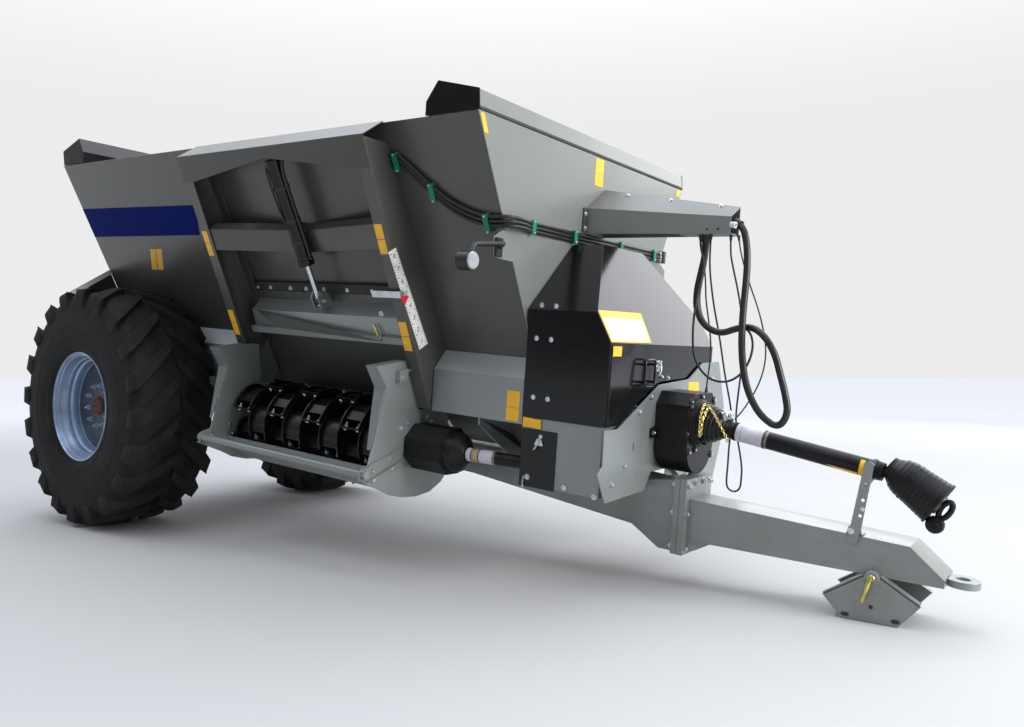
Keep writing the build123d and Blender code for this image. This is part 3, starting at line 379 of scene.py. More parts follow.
TYRE = Mat("tyre_rubber", (0.0085, 0.0086, 0.0095, 1), rough=0.70, rough_var=0.12, var=0.25, var_scale=7.0, fine=0.25, fine_scale=110.0, dust=srgb(84, 80, 74), dust_amount=0.15,
           dust_scale=8.0, bump=0.0012, bump_scale=70.0, spec=0.2).m
RIM = Mat("rim_silver", srgb(156, 178, 206), metallic=0.65, rough=0.34, rough_var=0.08, var=0.08, var_scale=5.0, fine=0.06, dust=srgb(110, 98, 82), dust_amount=0.35, dust_scale=9.0,
          bump=0.0003, bump_scale=60.0, coat=0.2).m
# darker copy of the rim colour for the wheel disc deep inside the rim: painted shade, with dust
DISC_SHADED = Mat("wheel_disc_shaded", srgb(62, 70, 84), metallic=0.5, rough=0.42, rough_var=0.1, var=0.12, var_scale=6.0, fine=0.08, dust=srgb(84, 76, 66), dust_amount=0.35, dust_scale=8.0,
           bump=0.0004, bump_scale=60.0, coat=0.15).m
GREEN = Mat("clamp_green", srgb(0, 112, 82), rough=0.42, rough_var=0.08, var=0.12, var_scale=12.0, fine=0.08, bump=0.0003, bump_scale=160.0).m
YELLOW = Mat("yellow_film", srgb(244, 184, 28), rough=0.38, rough_var=0.06, var=0.05, var_scale=14.0, fine=0.04, fine_scale=260.0, dust=srgb(150, 130, 96), dust_amount=0.16, dust_scale=20.0).m
BLUE = Mat("blue_film", srgb(2, 22, 100), spec=0.03, rough=0.55, rough_var=0.06, var=0.05, var_scale=5.0, fine=0.03, fine_scale=260.0, dust=srgb(60, 66, 100), dust_amount=0.01, dust_scale=6.0).m
WHITE = Mat("white_film", srgb(226, 226, 222), rough=0.42, rough_var=0.06, var=0.03, var_scale=14.0, fine=0.03, dust=srgb(168, 160, 144), dust_amount=0.22, dust_scale=22.0).m
DARKP = Mat("printed_black", (0.02, 0.02, 0.022, 1), rough=0.42, rough_var=0.05, var=0.1, fine=0.05).m
RED = Mat("red_film", srgb(200, 30, 34), rough=0.4, rough_var=0.05, var=0.06, var_scale=16.0, fine=0.04).m
LILAC = Mat("sleeve_film", srgb(208, 206, 220), rough=0.44, rough_var=0.08, var=0.08, var_scale=18.0, fine=0.06, dust=srgb(140, 130, 118), dust_amount=0.3, dust_scale=26.0).m
PAPER = Mat("tan_paper_film", srgb(168, 142, 118), rough=0.55, rough_var=0.08, var=0.15, var_scale=22.0, fine=0.1).m
LENS = Mat("clear_lens", srgb(150, 155, 160), rough=0.08, rough_var=0.03, var=0.04, var_scale=30.0, fine=0.05, coat=1.0, coat_rough=0.03).m
RED_LENS = Mat("red_lens", srgb(150, 14, 16), rough=0.12, rough_var=0.03, var=0.1, var_scale=40.0, fine=0.05, coat=0.8).m
SEAL = Mat("seal_rubber", (0.012, 0.012, 0.012, 1), rough=0.6, rough_var=0.1, var=0.2, fine=0.2, dust=srgb(96, 86, 72), dust_amount=0.2, dust_scale=12.0, bump=0.0004, bump_scale=120.0).m


# ---------------------------------------------------------------- free cords: the same route points as the part's solids
ARM_EXITS = {
    # name: radius mm, declared length m, stiffness, lay, points in machine mm
    "hose_bundle": (16.0, 2.268, "stiff", "hanging", [
        (3964, -48, 2068), (4005, -60, 2052), (4035, -72, 1967), (4048, -82, 1877), (4052, -90, 1786), (4051, -95, 1694), (4052, -98, 1603),
        (4056, -100, 1512), (4068, -102, 1421), (4089, -105, 1332), (4125, -106, 1248), (4181, -108, 1176), (4260, -111, 1135), (4300, -113, 1203),
        (4279, -111, 1292), (4248, -108, 1378), (4218, -105, 1465), (4167, -102, 1540), (4095, -70, 1583), (4012, -39, 1576), (3928, -38, 1541),
        (3845, -41, 1573), (3797, -43, 1649), (3792, -45, 1740), (3807, -45, 1830), (3823, -45, 1920), (3823, -45, 2009.8)]),
    "cable_a": (5.5, 1.773, "medium", "hanging", [
        (3803, -70, 2009.8), (3803, -70, 1963), (3829, -72, 1890), (3826, -73, 1813), (3811, -74, 1736), (3804, -75, 1659), (3801, -76, 1581),
        (3804, -76, 1504), (3816, -76, 1427), (3855, -76, 1360), (3919, -75, 1317), (3995, -70, 1316), (4053, -55, 1361), (4085, -48, 1431),
        (4091, -37, 1507), (4057, -20, 1573), (3986, -11, 1579), (3914, -9, 1553), (3843, -8, 1575), (3803, -8, 1641), (3791, -10, 1718),
        (3800, -12, 1795), (3815, -15, 1871), (3823, -18, 1948), (3823, -18, 2009.8)]),
    "cable_b": (4.5, 2.551, "medium", "hanging", [
        (3861, -82, 2009.8), (3861, -82, 1920), (3862, -66, 1832), (3866, -36, 1747), (3872, -5, 1663), (3882, 28, 1580), (3895, 50, 1494),
        (3910, 62, 1406), (3928, 70, 1318), (3951, 75, 1231), (3970, 78, 1144), (3968, 80, 1054), (3966, 80, 970), (3967, 81, 903), (3966, 80, 852),
        (3968, 80, 801), (3989, 80, 781), (4018, 80, 781), (4038, 80, 801), (4040, 80, 852), (4038, 81, 903), (4024, 80, 970), (4001, 80, 1055),
        (3989, 78, 1144), (3992, 76, 1234), (3998, 74, 1324), (4002, 67, 1413), (4005, 56, 1502), (4001, 41, 1591), (3992, 22, 1678),
        (3978, 0, 1765), (3960, -22, 1850), (3942, -37, 1937), (3942, -37, 2009.8)]),
    "cable_c": (4.0, 0.782, "medium", "hanging", [
        (3788, -6, 2009.8), (3788, -6, 1945), (3798, 14, 1868), (3802, 32, 1787), (3802, 48, 1713), (3809, 68, 1640), (3817, 88, 1568),
        (3822, 105, 1494), (3820, 118, 1420), (3812, 128, 1346), (3806, 132, 1300), (3806, 132, 1245.2)]),
    "cable_d": (3.5, 1.112, "medium", "hanging", [
        (3970, -14, 2009.8), (3982, -16, 1949), (4004, -18, 1883), (4029, -17, 1816), (4056, -15, 1750), (4084, -12, 1685), (4104, 2, 1618),
        (4116, 25, 1551), (4121, 49, 1485), (4116, 66, 1416), (4102, 72, 1346), (4077, 75, 1280), (4043, 80, 1217), (4004, 92, 1159),
        (3957, 108, 1110), (3895, 138, 1105), (3832.2, 138, 1105)]),
}
CORDS = {}
for cname, (rad, length, stiff, lay, route) in ARM_EXITS.items():
    cu = bpy.data.curves.new(cname + "_line", "CURVE")
    cu.dimensions = "3D"
    sp = cu.splines.new("NURBS")
    sp.points.add(len(route) - 1)
    for pnt, q in zip(sp.points, route):
        pnt.co = (*T(q), 1.0)
    sp.order_u = 3
    sp.use_endpoint_u = True
    sp.resolution_u = 10
    cu.bevel_depth = rad / 1000.0
    cu.bevel_resolution = 5
    cu.use_fill_caps = True
    ob = bpy.data.objects.new("cord_" + cname, cu)
    SCENE.collection.objects.link(ob)
    cu.materials.append(HOSE)
    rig.ride(ob, "spreader")
    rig.replaces(ob, cname)
    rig.slot(ob, "hose_rubber")
    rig.cord(ob, exit=tuple(T(route[0])), length=length, diameter=rad * 2 / 1000.0, far_end="object", stiffness=stiff, lay=lay)
    CORDS[cname] = ob


# ---------------------------------------------------------------- mesh building
def finish_mesh(name, me, body, slot, mats, bevel, segments=2, angle=32.0, nodes=()):
    ob = bpy.data.objects.new(name, me)
    SCENE.collection.objects.link(ob)
    for mt in mats:
        me.materials.append(mt)
    me.polygons.foreach_set("use_smooth", [True] * len(me.polygons))
    me.set_sharp_from_angle(angle=math.radians(angle))
    if bevel:
        bv = ob.modifiers.new("bevel", "BEVEL")
        bv.width = bevel / 1000.0
        bv.segments = segments
        bv.limit_method = "ANGLE"
        bv.angle_limit = math.radians(angle)
        bv.harden_normals = True
        bv.use_clamp_overlap = True
        bv.miter_outer = "MITER_ARC"
    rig.ride(ob, body)
    if nodes:
        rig.replaces(ob, *nodes)
    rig.slot(ob, slot)
    return ob


def rebuild(node, slot, material, bevel=1.5, angle=32.0, keep=None, flat=1.0, assign=None):
    """The CAD node's own shape, with its triangles joined into faces and its edges rounded."""
    src = NODES[node]
    bm = bmesh.new()
    bm.from_mesh(src.data)
    bmesh.ops.remove_doubles(bm, verts=bm.verts, dist=0.00002)
    bmesh.ops.dissolve_limit(bm, angle_limit=math.radians(flat), verts=bm.verts, edges=bm.edges, delimit=set())
    if keep is not None:
        gone = [f for f in bm.faces if not keep(f.calc_center_median())]
        bmesh.ops.delete(bm, geom=gone, context="FACES")
    me = bpy.data.meshes.new(node + "_mesh")
    bm.to_mesh(me)
    bm.free()
    mats = material if isinstance(material, list) else [material]
    if assign is not None:
        for p in me.polygons:
            p.material_index = assign(p.center)
    return finish_mesh("skin_" + node, me, src["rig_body"], slot, mats, bevel, angle=angle, nodes=(node,))


class Mesh:
    """Collects shapes drawn in machine millimetres into one piece."""

    def __init__(self):
        self.v, self.f, self.m = [], [], []

    def add(self, verts, faces, m=0):
        k = len(self.v)
        self.v += [tuple(p) for p in verts]
        self.f += [[k + i for i in f] for f in faces]
        self.m += [m] * len(faces)

    def prism(self, pts, vec, m=0):
        n = len(pts)
        a = [Vector(p) for p in pts]
        b = [p + Vector(vec) for p in a]
        nrm = Vector((0, 0, 0))
        for i in range(n):
            p, q = a[i], a[(i + 1) % n]
            nrm += Vector(((p.y - q.y) * (p.z + q.z), (p.z - q.z) * (p.x + q.x), (p.x - q.x) * (p.y + q.y)))
        if nrm.dot(Vector(vec)) > 0:
            a, b = b, a
        faces = [list(range(n)), [n + i for i in reversed(range(n))]]
        for i in range(n):
            j = (i + 1) % n
            faces.append([j, i, n + i, n + j])
        self.add(a + b, faces, m)

    def box(self, x0, x1, y0, y1, z0, z1, m=0):
        self.prism([(x0, y0, z0), (x1, y0, z0), (x1, y1, z0), (x0, y1, z0)], (0, 0, z1 - z0), m)

    def ring_frame(self, axis):
        a = Vector(axis).normalized()
        h = Vector((0, 0, 1)) if abs(a.z) < 0.9 else Vector((1, 0, 0))
        u = a.cross(h).normalized()
        return a, u, a.cross(u)

    def lathe(self, origin, axis, profile, n=32, m=0, phase=0.0, closed=False):
        """profile: (radius, distance along the axis); a radius of 0 closes the end."""
        a, u, w = self.ring_frame(axis)
        o = Vector(origin)
        verts, rows = [], []
        for r, t in profile:
            if r < 1e-6:
                rows.append([len(verts)])
                verts.append(o + a * t)
            else:
                rows.append(list(range(len(verts), len(verts) + n)))
                for i in range(n):
                    g = phase + 2 * math.pi * i / n
                    verts.append(o + a * t + (u * math.cos(g) + w * math.sin(g)) * r)
        faces = []
        pairs = list(zip(rows, rows[1:])) + ([(rows[-1], rows[0])] if closed else [])
        for p, q in pairs:
            for i in range(n):
                j = (i + 1) % n
                if len(p) == 1 and len(q) == 1:
                    continue
                if len(p) == 1:
                    faces.append([p[0], q[j], q[i]])
                elif len(q) == 1:
                    faces.append([p[i], p[j], q[0]])
                else:
                    faces.append([p[i], p[j], q[j], q[i]])
        self.add(verts, faces, m)

    def rod(self, p0, p1, r, r2=None, n=20, m=0):
        a, b = Vector(p0), Vector(p1)
        d = (b - a).length
        self.lathe(a, b - a, [(0, 0), (r, 0), (r if r2 is None else r2, d), (0, d)], n, m)

    def tube(self, pts, r, n=10, m=0, cap=True, closed=False):
        """A round bar along the points, each ring turned on from the last."""
        P = [Vector(p) for p in pts]
        k = len(P)
        tang = []
        for i in range(k):
            if closed:
                t = P[(i + 1) % k] - P[i - 1]
            else:
                t = P[min(i + 1, k - 1)] - P[max(i - 1, 0)]
            tang.append(t.normalized())
        _, u, _ = self.ring_frame(tang[0])
        verts = []
        for i in range(k):
            u = (u - tang[i] * u.dot(tang[i])).normalized()
            w = tang[i].cross(u)
            rr = r[i] if isinstance(r, (list, tuple)) else r
            for j in range(n):
                g = 2 * math.pi * j / n
                verts.append(P[i] + (u * math.cos(g) + w * math.sin(g)) * rr)
        faces = []
        last = k if closed else k - 1
        for i in range(last):
            a0, b0 = i * n, ((i + 1) % k) * n
            for j in range(n):
                q = (j + 1) % n
                faces.append([a0 + j, a0 + q, b0 + q, b0 + j])
        if cap and not closed:
            faces.append(list(reversed(range(n))))
            faces.append([(k - 1) * n + j for j in range(n)])
        self.add(verts, faces, m)

    def bolt(self, p, axis, size=9.0, m=0, washer=True, stub=3.0, turn=0.3, nut=False):
        """Hexagon head on a washer, standing on p along axis. size is half the width across corners."""
        a, u, w = self.ring_frame(axis)
        o = Vector(p)
        t = 0.0
        if washer:
            self.lathe(o, a, [(0, -0.5), (size * 1.35, -0.5), (size * 1.35, 1.6), (size * 1.2, 2.0), (0, 2.0)], 18, m)
            t = 2.0
        h = size * 0.75
        self.lathe(o, a, [(0, t - 0.2), (size, t - 0.2), (size, t + h - 1.2), (size * 0.86, t + h), (0, t + h)], 6, m, turn)
        if stub or nut:
            self.lathe(o, a, [(0, t + h - 0.5), (size * 0.52, t + h - 0.5), (size * 0.52, t + h + stub - 0.8), (size * 0.4, t + h + stub), (0, t + h + stub)], 14, m)

    def make(self, name, body, slot, mats, bevel=0.0, segments=2, angle=32.0, nodes=(), raw=False):
        me = bpy.data.meshes.new(name + "_mesh")
        pts = [tuple(p) for p in self.v] if raw else [tuple(T(p)) for p in self.v]
        me.from_pydata(pts, [], self.f)
        me.polygons.foreach_set("material_index", self.m)
        me.update()
        return finish_mesh(name, me, body, slot, mats if isinstance(mats, list) else [mats], bevel, segments, angle, nodes)


def sticker(mesh, corners, lift=0.8, thick=0.5, m=0):
    """Thin film on a flat face: corners go round it; it stands lift off their plane on the side of the outward normal."""
    c = [Vector(p) for p in corners]
    n = (c[1] - c[0]).cross(c[-1] - c[0]).normalized()
    pts = [p + n * lift for p in c]
    mesh.prism(pts, n * thick, m)


# side wall plane of the hopper
SLOPE, TOP_Z, TOP_HALF = 0.505, 2437.0, 1024.0
NORM = math.hypot(1.0, SLOPE)


def wall_y(z, off=0.0):
    return -(TOP_HALF - SLOPE * (TOP_Z - z)) - off * NORM


WALL_N = (0.0, -1.0 / NORM, -SLOPE / NORM)


def on_wall(x, z, off=0.0):
    """Point on the right wall's outer face at height z, then moved out along its normal."""
    return (x, wall_y(z) + WALL_N[1] * off, z + WALL_N[2] * off)


# ---------------------------------------------------------------- CAD bodies with a finished skin
# The one grey paint of the machine is split into lighter and darker copies by how light falls on each part: painted
# light and shade.
rebuild("hopper_left_wall", "body_paint", PAINT_SHADED, 1.0)
rebuild("hopper_right_wall", "body_paint", PAINT_SHADED, 1.0)
rebuild("hopper_front_wall", "body_paint", PAINT_LIT, 1.0, flat=0.5)
rebuild("hopper_rear_wall", "body_paint", PAINT_SHADED, 1.0, flat=0.5)
rebuild("auger_trough", "body_paint", INSIDE, 0.8, flat=0.3)
# the rails' faces above 1272 mm take the lighter rail copy: painted skylight on their tops
rebuild("side_rail_right", "body_paint", [PAINT_LOW_LIGHTENED, PAINT_RAIL_TOP_LIT], 3.0, assign=lambda c: 1 if U(c).z > 1272 else 0)
rebuild("side_rail_left", "body_paint", [PAINT_LOW_LIGHTENED, PAINT_RAIL_TOP_LIT], 3.0, assign=lambda c: 1 if U(c).z > 1272 else 0)
rebuild("front_splash_lid", "body_paint", [PAINT_LIT, BLACK], 1.5, assign=lambda c: 1 if abs(c.y) > 1.0185 else 0)
rebuild("rear_splash_plate", "black_paint", BLACK, 1.5)
rebuild("door_posts", "body_paint", PAINT_SHADED, 2.5)
# the canopy's faces below 2354 mm take the darker fascia copy: painted shade
rebuild("door_canopy", "body_paint", [PAINT_SHADED, PAINT_FACE_SHADED], 2.0, assign=lambda c: 1 if U(c).z < 2354 else 0)
rebuild("door_cross_beam", "body_paint", PAINT_SHADED, 2.5)
rebuild("rotor_side_plates", "body_paint", PAINT_LOW_LIGHTENED, 1.2)
rebuild("rotor_pan", "body_paint", PAINT_LOW_LIGHTENED, 1.0, flat=0.3)
rebuild("guard_bar", "body_paint", PAINT_LOW_LIGHTENED, 1.2)
rebuild("rotor_tube", "black_paint", ROTOR_BLACK, 1.5, flat=0.3)
rebuild("rotor_arms", "black_paint", ROTOR_BLACK, 1.2, flat=0.5)
rebuild("door_sheet", "body_paint", PAINT_SHADED, 1.0)
rebuild("door_stiffener", "body_paint", PAINT_LOW_LIGHTENED, 1.5)
rebuild("door_top_seal", "hose_rubber", SEAL, 1.0)
rebuild("door_deflector", "body_paint", PAINT_SHADED, 0.8)
rebuild("door_pointer", "zinc_steel", ZINC, 0.8)
rebuild("cylinder_rod", "rod_chrome", CHROME, 1.0, flat=0.3)
rebuild("cylinder_barrel", "black_paint", BLACK, 2.0, flat=0.3)
rebuild("auger", "worn_steel", WORN, 1.0, flat=0.3)
rebuild("chassis_beam", "body_paint", PAINT_LOW_LIGHTENED, 4.0)
rebuild("drawbar_beam", "body_paint", PAINT_LOW_LIGHTENED, 4.0)
rebuild("hitch_eye", "body_paint", PAINT_LOW_LIGHTENED, 4.0, flat=0.3)
rebuild("axle_beam", "body_paint", PAINT_LOW_LIGHTENED, 2.0, flat=0.3)
rebuild("axle_seats_and_ties", "body_paint", PAINT_LOW_LIGHTENED, 1.2)
rebuild("drive_case", "body_paint", [PAINT_LOW_LIGHTENED, BLACK], 2.5, assign=lambda c: 1 if c.y < -0.5655 else 0)
rebuild("drive_plate", "body_paint", PAINT_LOW_LIGHTENED, 1.2)
rebuild("drive_guard", "black_paint", BLACK, 1.5)
rebuild("guard_panel", "black_paint", BLACK, 1.0, flat=0.3, keep=lambda c: U(c).x < 3646.5)
rebuild("gearbox_guard", "guard_plastic", PLASTIC, 3.0, flat=0.3)
rebuild("side_shaft_guard", "guard_plastic", PLASTIC, 2.0, flat=0.3)
# all of the hose arm but its near edge takes the duller darker copy: painted shade; the near edge takes the lit copy:
# painted light
rebuild("hose_arm", "body_paint", [PAINT_LIT, PAINT_ARM_SHADED], 2.0, assign=lambda c: 1 if c.y > -0.095 else 0)
rebuild("rear_boards", "body_paint", PAINT_SHADED, 2.0)
rebuild("pto_stay", "zinc_steel", PAINT_LOW_LIGHTENED, 1.0, flat=0.5)
rebuild("pto_tube", "guard_plastic", PLASTIC, 1.5, flat=0.3)
rebuild("pto_yoke", "worn_steel", WORN, 1.5, flat=0.3)
rebuild("skid_foot", "body_paint", PAINT_LOW_LIGHTENED, 1.5, flat=0.5)
rebuild("clipped_hoses", "hose_rubber", HOSE, 0.0, angle=50, flat=0.01)
rebuild("lamps", "guard_plastic", SATIN, 2.0, flat=0.3)


# ---------------------------------------------------------------- wheels
def interp(table, x):
    for (x0, y0), (x1, y1) in zip(table, table[1:]):
        if x <= x1:
            return y0 + (y1 - y0) * (x - x0) / (x1 - x0)
    return table[-1][1]


CARCASS = [(0, 762), (100, 761), (180, 757), (222, 749), (250, 730), (272, 690)]
TYRE_MID = 887.5
PROFILE = [(340, 240), (358, 248), (372, 262), (392, 268), (404, 275), (410, 276), (416, 274), (440, 281), (520, 287), (540, 286), (546, 287.2), (554, 287.2), (560, 286), (600, 285),
           (640, 281), (670, 276), (690, 272), (712, 263), (730, 250), (742, 237), (749, 222), (754, 202), (757, 180), (760, 140), (761, 100), (762, 50), (762, 0)]


def build_tyre(side, body):
    m = Mesh()
    prof = [(r, side * (TYRE_MID + w)) for r, w in PROFILE] + [(r, side * (TYRE_MID - w)) for r, w in reversed(PROFILE[:-1])]
    m.lathe((0, 0, 800), (0, 1, 0), prof, 120, 0, closed=True)
    n = 20
    for half in (1, -1):
        for k in range(n):
            th0 = 2 * math.pi * (k + (0.5 if half < 0 else 0.0)) / n
            st = []
            for i in range(10):
                t = i / 9.0
                w = 8 + 264 * t
                th = th0 + 0.30 * (1 - t) ** 1.12
                wide = 1.0 + 0.62 * t ** 1.3
                st.append((th, w, 799 - 0.00035 * w * w, w, interp(CARCASS, w) - 9, 33 * wide, 43 * wide))
            st.append((th0 - 0.004, 281, 756, 262, 705, 52, 68))
            st.append((th0 - 0.008, 285.5, 734, 266, 695, 50, 66))
            st.append((th0 - 0.012, 287, 700, 270, 675, 46, 60))
            st.append((th0 - 0.016, 286, 664, 276, 652, 40, 50))
            verts = []
            for th, wt, rt, wb, rb, ht, hb in st:
                for w, r, h in ((wb, rb, -hb), (wt, rt, -ht), (wt, rt, ht), (wb, rb, hb)):
                    a = th + h / r
                    verts.append((r * math.cos(a), side * (TYRE_MID + half * w), 800 + r * math.sin(a)))
            faces = []
            flip = (side * half) < 0
            for i in range(len(st) - 1):
                a, b = 4 * i, 4 * i + 4
                for j in range(4):
                    q = (j + 1) % 4
                    f = [a + j, a + q, b + q, b + j]
                    faces.append(f if flip else f[::-1])
            e = 4 * (len(st) - 1)
            c0, c1 = [3, 2, 1, 0], [e, e + 1, e + 2, e + 3]
            faces.append(c0 if flip else c0[::-1])
            faces.append(c1 if flip else c1[::-1])
            m.add(verts, faces, 0)
    m.make("tyre_" + body, body, "tyre_rubber", TYRE, 3.5, 2, 38.0, nodes=("tyre_" + body.split("_")[1],))


def build_rim(side, body):
    s = body.split("_")[1]
    m = Mesh()
    front = [(357, 1149), (354, 1149.5), (351, 1146), (349.5, 1138), (345, 1130), (337, 1127), (334, 1120), (332, 1082), (329, 1077), (319, 1073), (317, 1066), (316, 1050), (313, 1046),
             (305, 1042), (302, 1034), (300, 1000), (300, 700), (303, 690), (312, 682), (314, 672), (322, 664), (330, 655), (334, 640), (338, 634), (349, 632), (353, 626), (358, 626)]
    rear = [(361, 629), (357, 637), (345, 641), (339, 660), (327, 672), (310, 700), (306, 704), (306, 1000), (310, 1034), (318, 1056), (327, 1078), (339, 1118), (345, 1140), (357, 1141), (361, 1146)]
    m.lathe((0, 0, 800), (0, 1, 0), [(r, side * y) for r, y in front + rear], 96, 0, closed=True)
    # welded wheel disc with a raised middle
    disc = [(301.5, 994), (296, 997), (240, 999), (190, 999), (181, 1001), (170, 1009), (163, 1011), (120, 1011), (62, 1011), (62, 1001), (160, 1001), (180, 990), (302, 986)]
    # the disc takes the darker disc material: painted shade inside the rim
    m.lathe((0, 0, 800), (0, 1, 0), [(r, side * y) for r, y in disc], 96, 3, closed=True)
    # weld bead where the disc meets the barrel
    bead = []
    for i in range(180):
        a = 2 * math.pi * i / 180
        r = 299.0 + 0.9 * math.sin(i * 2.1)
        bead.append((r * math.cos(a), side * 998, 800 + r * math.sin(a)))
    m.tube(bead, 3.6, 8, 0, closed=True)
    for i in range(8):
        a = math.radians(22.5 + 45 * i)
        c = (248 * math.cos(a), side * 999.2, 800 + 248 * math.sin(a))
        # pressed round dimple rings in the disc
        m.lathe(c, (0, side, 0), [(0, -0.6), (17, -0.6), (17, 0.5), (15, 1.2), (13.5, 0.4), (11, -0.4), (0, -0.4)], 24, 3)
    # valve stem
    m.tube([(282, side * 1000, 820), (284, side * 1010, 822), (290, side * 1034, 826), (296, side * 1052, 830)], [6, 5, 4, 4], 10, 1)
    for i in range(10):
        a = 2 * math.pi * (i + 0.3) / 10
        p = (137.5 * math.cos(a), side * 1010.5, 800 + 137.5 * math.sin(a))
        m.lathe(p, (0, side, 0), [(0, 0), (18, 0), (17, 4), (13, 6), (0, 6)], 20, 0)
        m.lathe(p, (0, side, 0), [(0, 5), (13.5, 5), (13.5, 17), (11.5, 19.5), (0, 19.5)], 6, 0, 0.4 + i)
        m.lathe(p, (0, side, 0), [(0, 18), (7, 18), (7, 27), (5.5, 29), (0, 29)], 14, 0)
    m.make("rim_" + s, body, "rim_silver", [RIM, SEAL, ZINC, DISC_SHADED], 1.2, 2, 30.0, nodes=("rim_" + s,))
    h = Mesh()
    h.lathe((0, 0, 800), (0, 1, 0), [(r, side * y) for r, y in [(0, 1032), (26, 1031), (34, 1027), (52, 1026), (58, 1022), (60, 1014), (60, 1004), (80, 1000.5), (150, 999.5), (150, 989),
                                                                 (146, 950), (100, 948), (78, 940), (78, 760), (60, 705), (33, 705), (33, 1004), (0, 1004)]], 56, 0)
    for i in range(6):
        a = 2 * math.pi * i / 6 + 0.2
        h.bolt((45 * math.cos(a), side * 1026, 800 + 45 * math.sin(a)), (0, side, 0), 6, 0, False, 0)
    h.lathe((0, side * 1030, 800), (0, side, 0), [(0, 0), (5, 0), (5, 5), (3, 6), (2.6, 11), (0, 12)], 12, 0)
    h.make("hub_" + s, body, "worn_steel", [RUST], 1.2, 2, 30.0, nodes=("hub_" + s,))


for side, body in ((-1, "wheel_right"), (1, "wheel_left")):
    build_tyre(side, body)
    build_rim(side, body)

# ---------------------------------------------------------------- power shaft guards
PA, PB = Vector((3904.0, 0.0, 1099.0)), Vector((4773.0, 0.0, 983.0))
ALONG = (PB - PA).normalized()
BEND = math.radians(32.6)
FORE = Vector((math.cos(BEND), 0, -math.sin(BEND)))


def bell(origin, axis, stations, wall, ribs, depth):
    """Corrugated cone: stations (distance, radius) outside; wall is the sheet's thickness."""
    d0, d1 = stations[0][0], stations[-1][0]
    outer = []
    steps = ribs * 8
    for i in range(steps + 1):
        t = d0 + (d1 - d0) * i / steps
        r = interp(stations, t)
        ph = (i % 8) / 8.0
        r -= depth * (1.0 if 0.30 < ph < 0.75 else (0.35 if 0.2 < ph < 0.9 else 0.0))
        outer.append((r, t))
    inner = [(interp(stations, d0 + (d1 - d0) * k / 6.0) - wall - depth, d0 + (d1 - d0) * k / 6.0) for k in range(6, -1, -1)]
    m = Mesh()
    m.lathe(origin, axis, outer + inner, 48, 0, closed=True)
    return m


rb = bell(PA, ALONG, [(-36, 95), (-8, 96), (20, 86), (50, 66), (72, 50)], 3, 6, 3.5)
rb.lathe(PA + ALONG * 72, ALONG, [(38, -3), (49, -3), (50, 2), (47, 4), (47, 14), (44, 18), (36.2, 18), (36.2, -3)], 40, 0, closed=True)
rb.make("bell_rear", "pto_shaft", "guard_plastic", PLASTIC, 0.8, 2, 30.0, nodes=("pto_rear_bell",))
UPF = FORE.cross(Vector((0, 1, 0))).normalized()
if UPF.z < 0:
    UPF = -UPF
YY = Vector((0, 1, 0))


def around(origin, axis_up, d_axis, d, r, deg):
    """Point at distance d along d_axis and radius r, deg measured from up towards the machine's right."""
    g = math.radians(deg)
    return origin + d_axis * d + (axis_up * math.cos(g) - YY * math.sin(g)) * r


fb = bell(PB, FORE, [(-70, 47), (-52, 56), (-30, 72), (0, 82), (60, 87), (120, 93), (160, 97)], 3, 12, 1.3)
fb.lathe(PB + FORE * -70, FORE, [(41, -8), (46, -8), (48, -4), (48, 4), (45, 8), (41, 8)], 40, 0, closed=True)
fb.lathe(PB, FORE, [(92, 150), (98.5, 151), (99.5, 155), (99.5, 160), (97, 163), (91, 163)], 56, 0, closed=True)
for i in range(8):
    o = around(PB, UPF, FORE, 28, 83, 22.5 + 45 * i)
    nn = (o - PB - FORE * 28).normalized()
    fb.lathe(o, nn, [(0, -2), (6, -2), (6, 2.2), (4.5, 3.4), (0, 3.4)], 12, 0)
fb.make("bell_front", "pto_front", "guard_plastic", PLASTIC, 0.8, 2, 30.0, nodes=("pto_front_bell",))

# inner fork, and the pull collar with its loops that hangs from the mouth of the front bell
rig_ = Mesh()
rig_.lathe(PB, FORE, [(17.6, 90), (17.6, 172), (40, 172), (44, 168), (44, 128), (48, 124), (48, 108), (44, 104), (44, 60), (34, 44), (22, 38), (22, 4), (0, 0), (0, 88)], 40, 0, closed=True)
for i in range(6):
    g = math.radians(60 * i)
    o = PB + FORE * 172
    uu = UPF * math.cos(g) + YY * math.sin(g)
    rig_.rod(o + uu * 31 - FORE * 6, o + uu * 31 + FORE * 2.5, 4.5, n=12)
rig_.rod(PB - YY * 32, PB + YY * 32, 11, n=24)
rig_.make("front_fork", "pto_front", "zinc_steel", SATIN, 0.8, 2, 30.0, nodes=("pto_yoke",))
knob = Mesh()
low = around(PB, UPF, FORE, 160, 70, 180)
kc = Vector((low.x + 34, -26, low.z - 24))
knob.lathe(kc + YY * 24, -YY, [(0, 0), (22, 1), (32, 6), (36, 14), (37, 24), (36, 34), (32, 42), (22, 47), (0, 48)], 36, 0)
knob.lathe(kc + YY * 26, -YY, [(10, -2), (16, -2), (17, 2), (17, 50), (15, 54), (10, 54)], 24, 0, closed=True)
loop = []
for i in range(20):
    g = 2 * math.pi * i / 20
    loop.append(kc + Vector((34, -4, 66)) + Vector((math.cos(g) * 20 + math.sin(g) * 14, 3 * math.sin(2 * g), math.sin(g) * 36)))
knob.tube(loop, 12, 12, 0, closed=True)
knob.tube([low + UPF * 14 - FORE * 14, low + Vector((4, -8, -8)), low + Vector((16, -18, -12)), kc + Vector((-2, 0, 14))], [13, 14, 15, 16], 14, 0)
knob.make("pull_collar", "pto_front", "guard_plastic", [PLASTIC], 0.6)

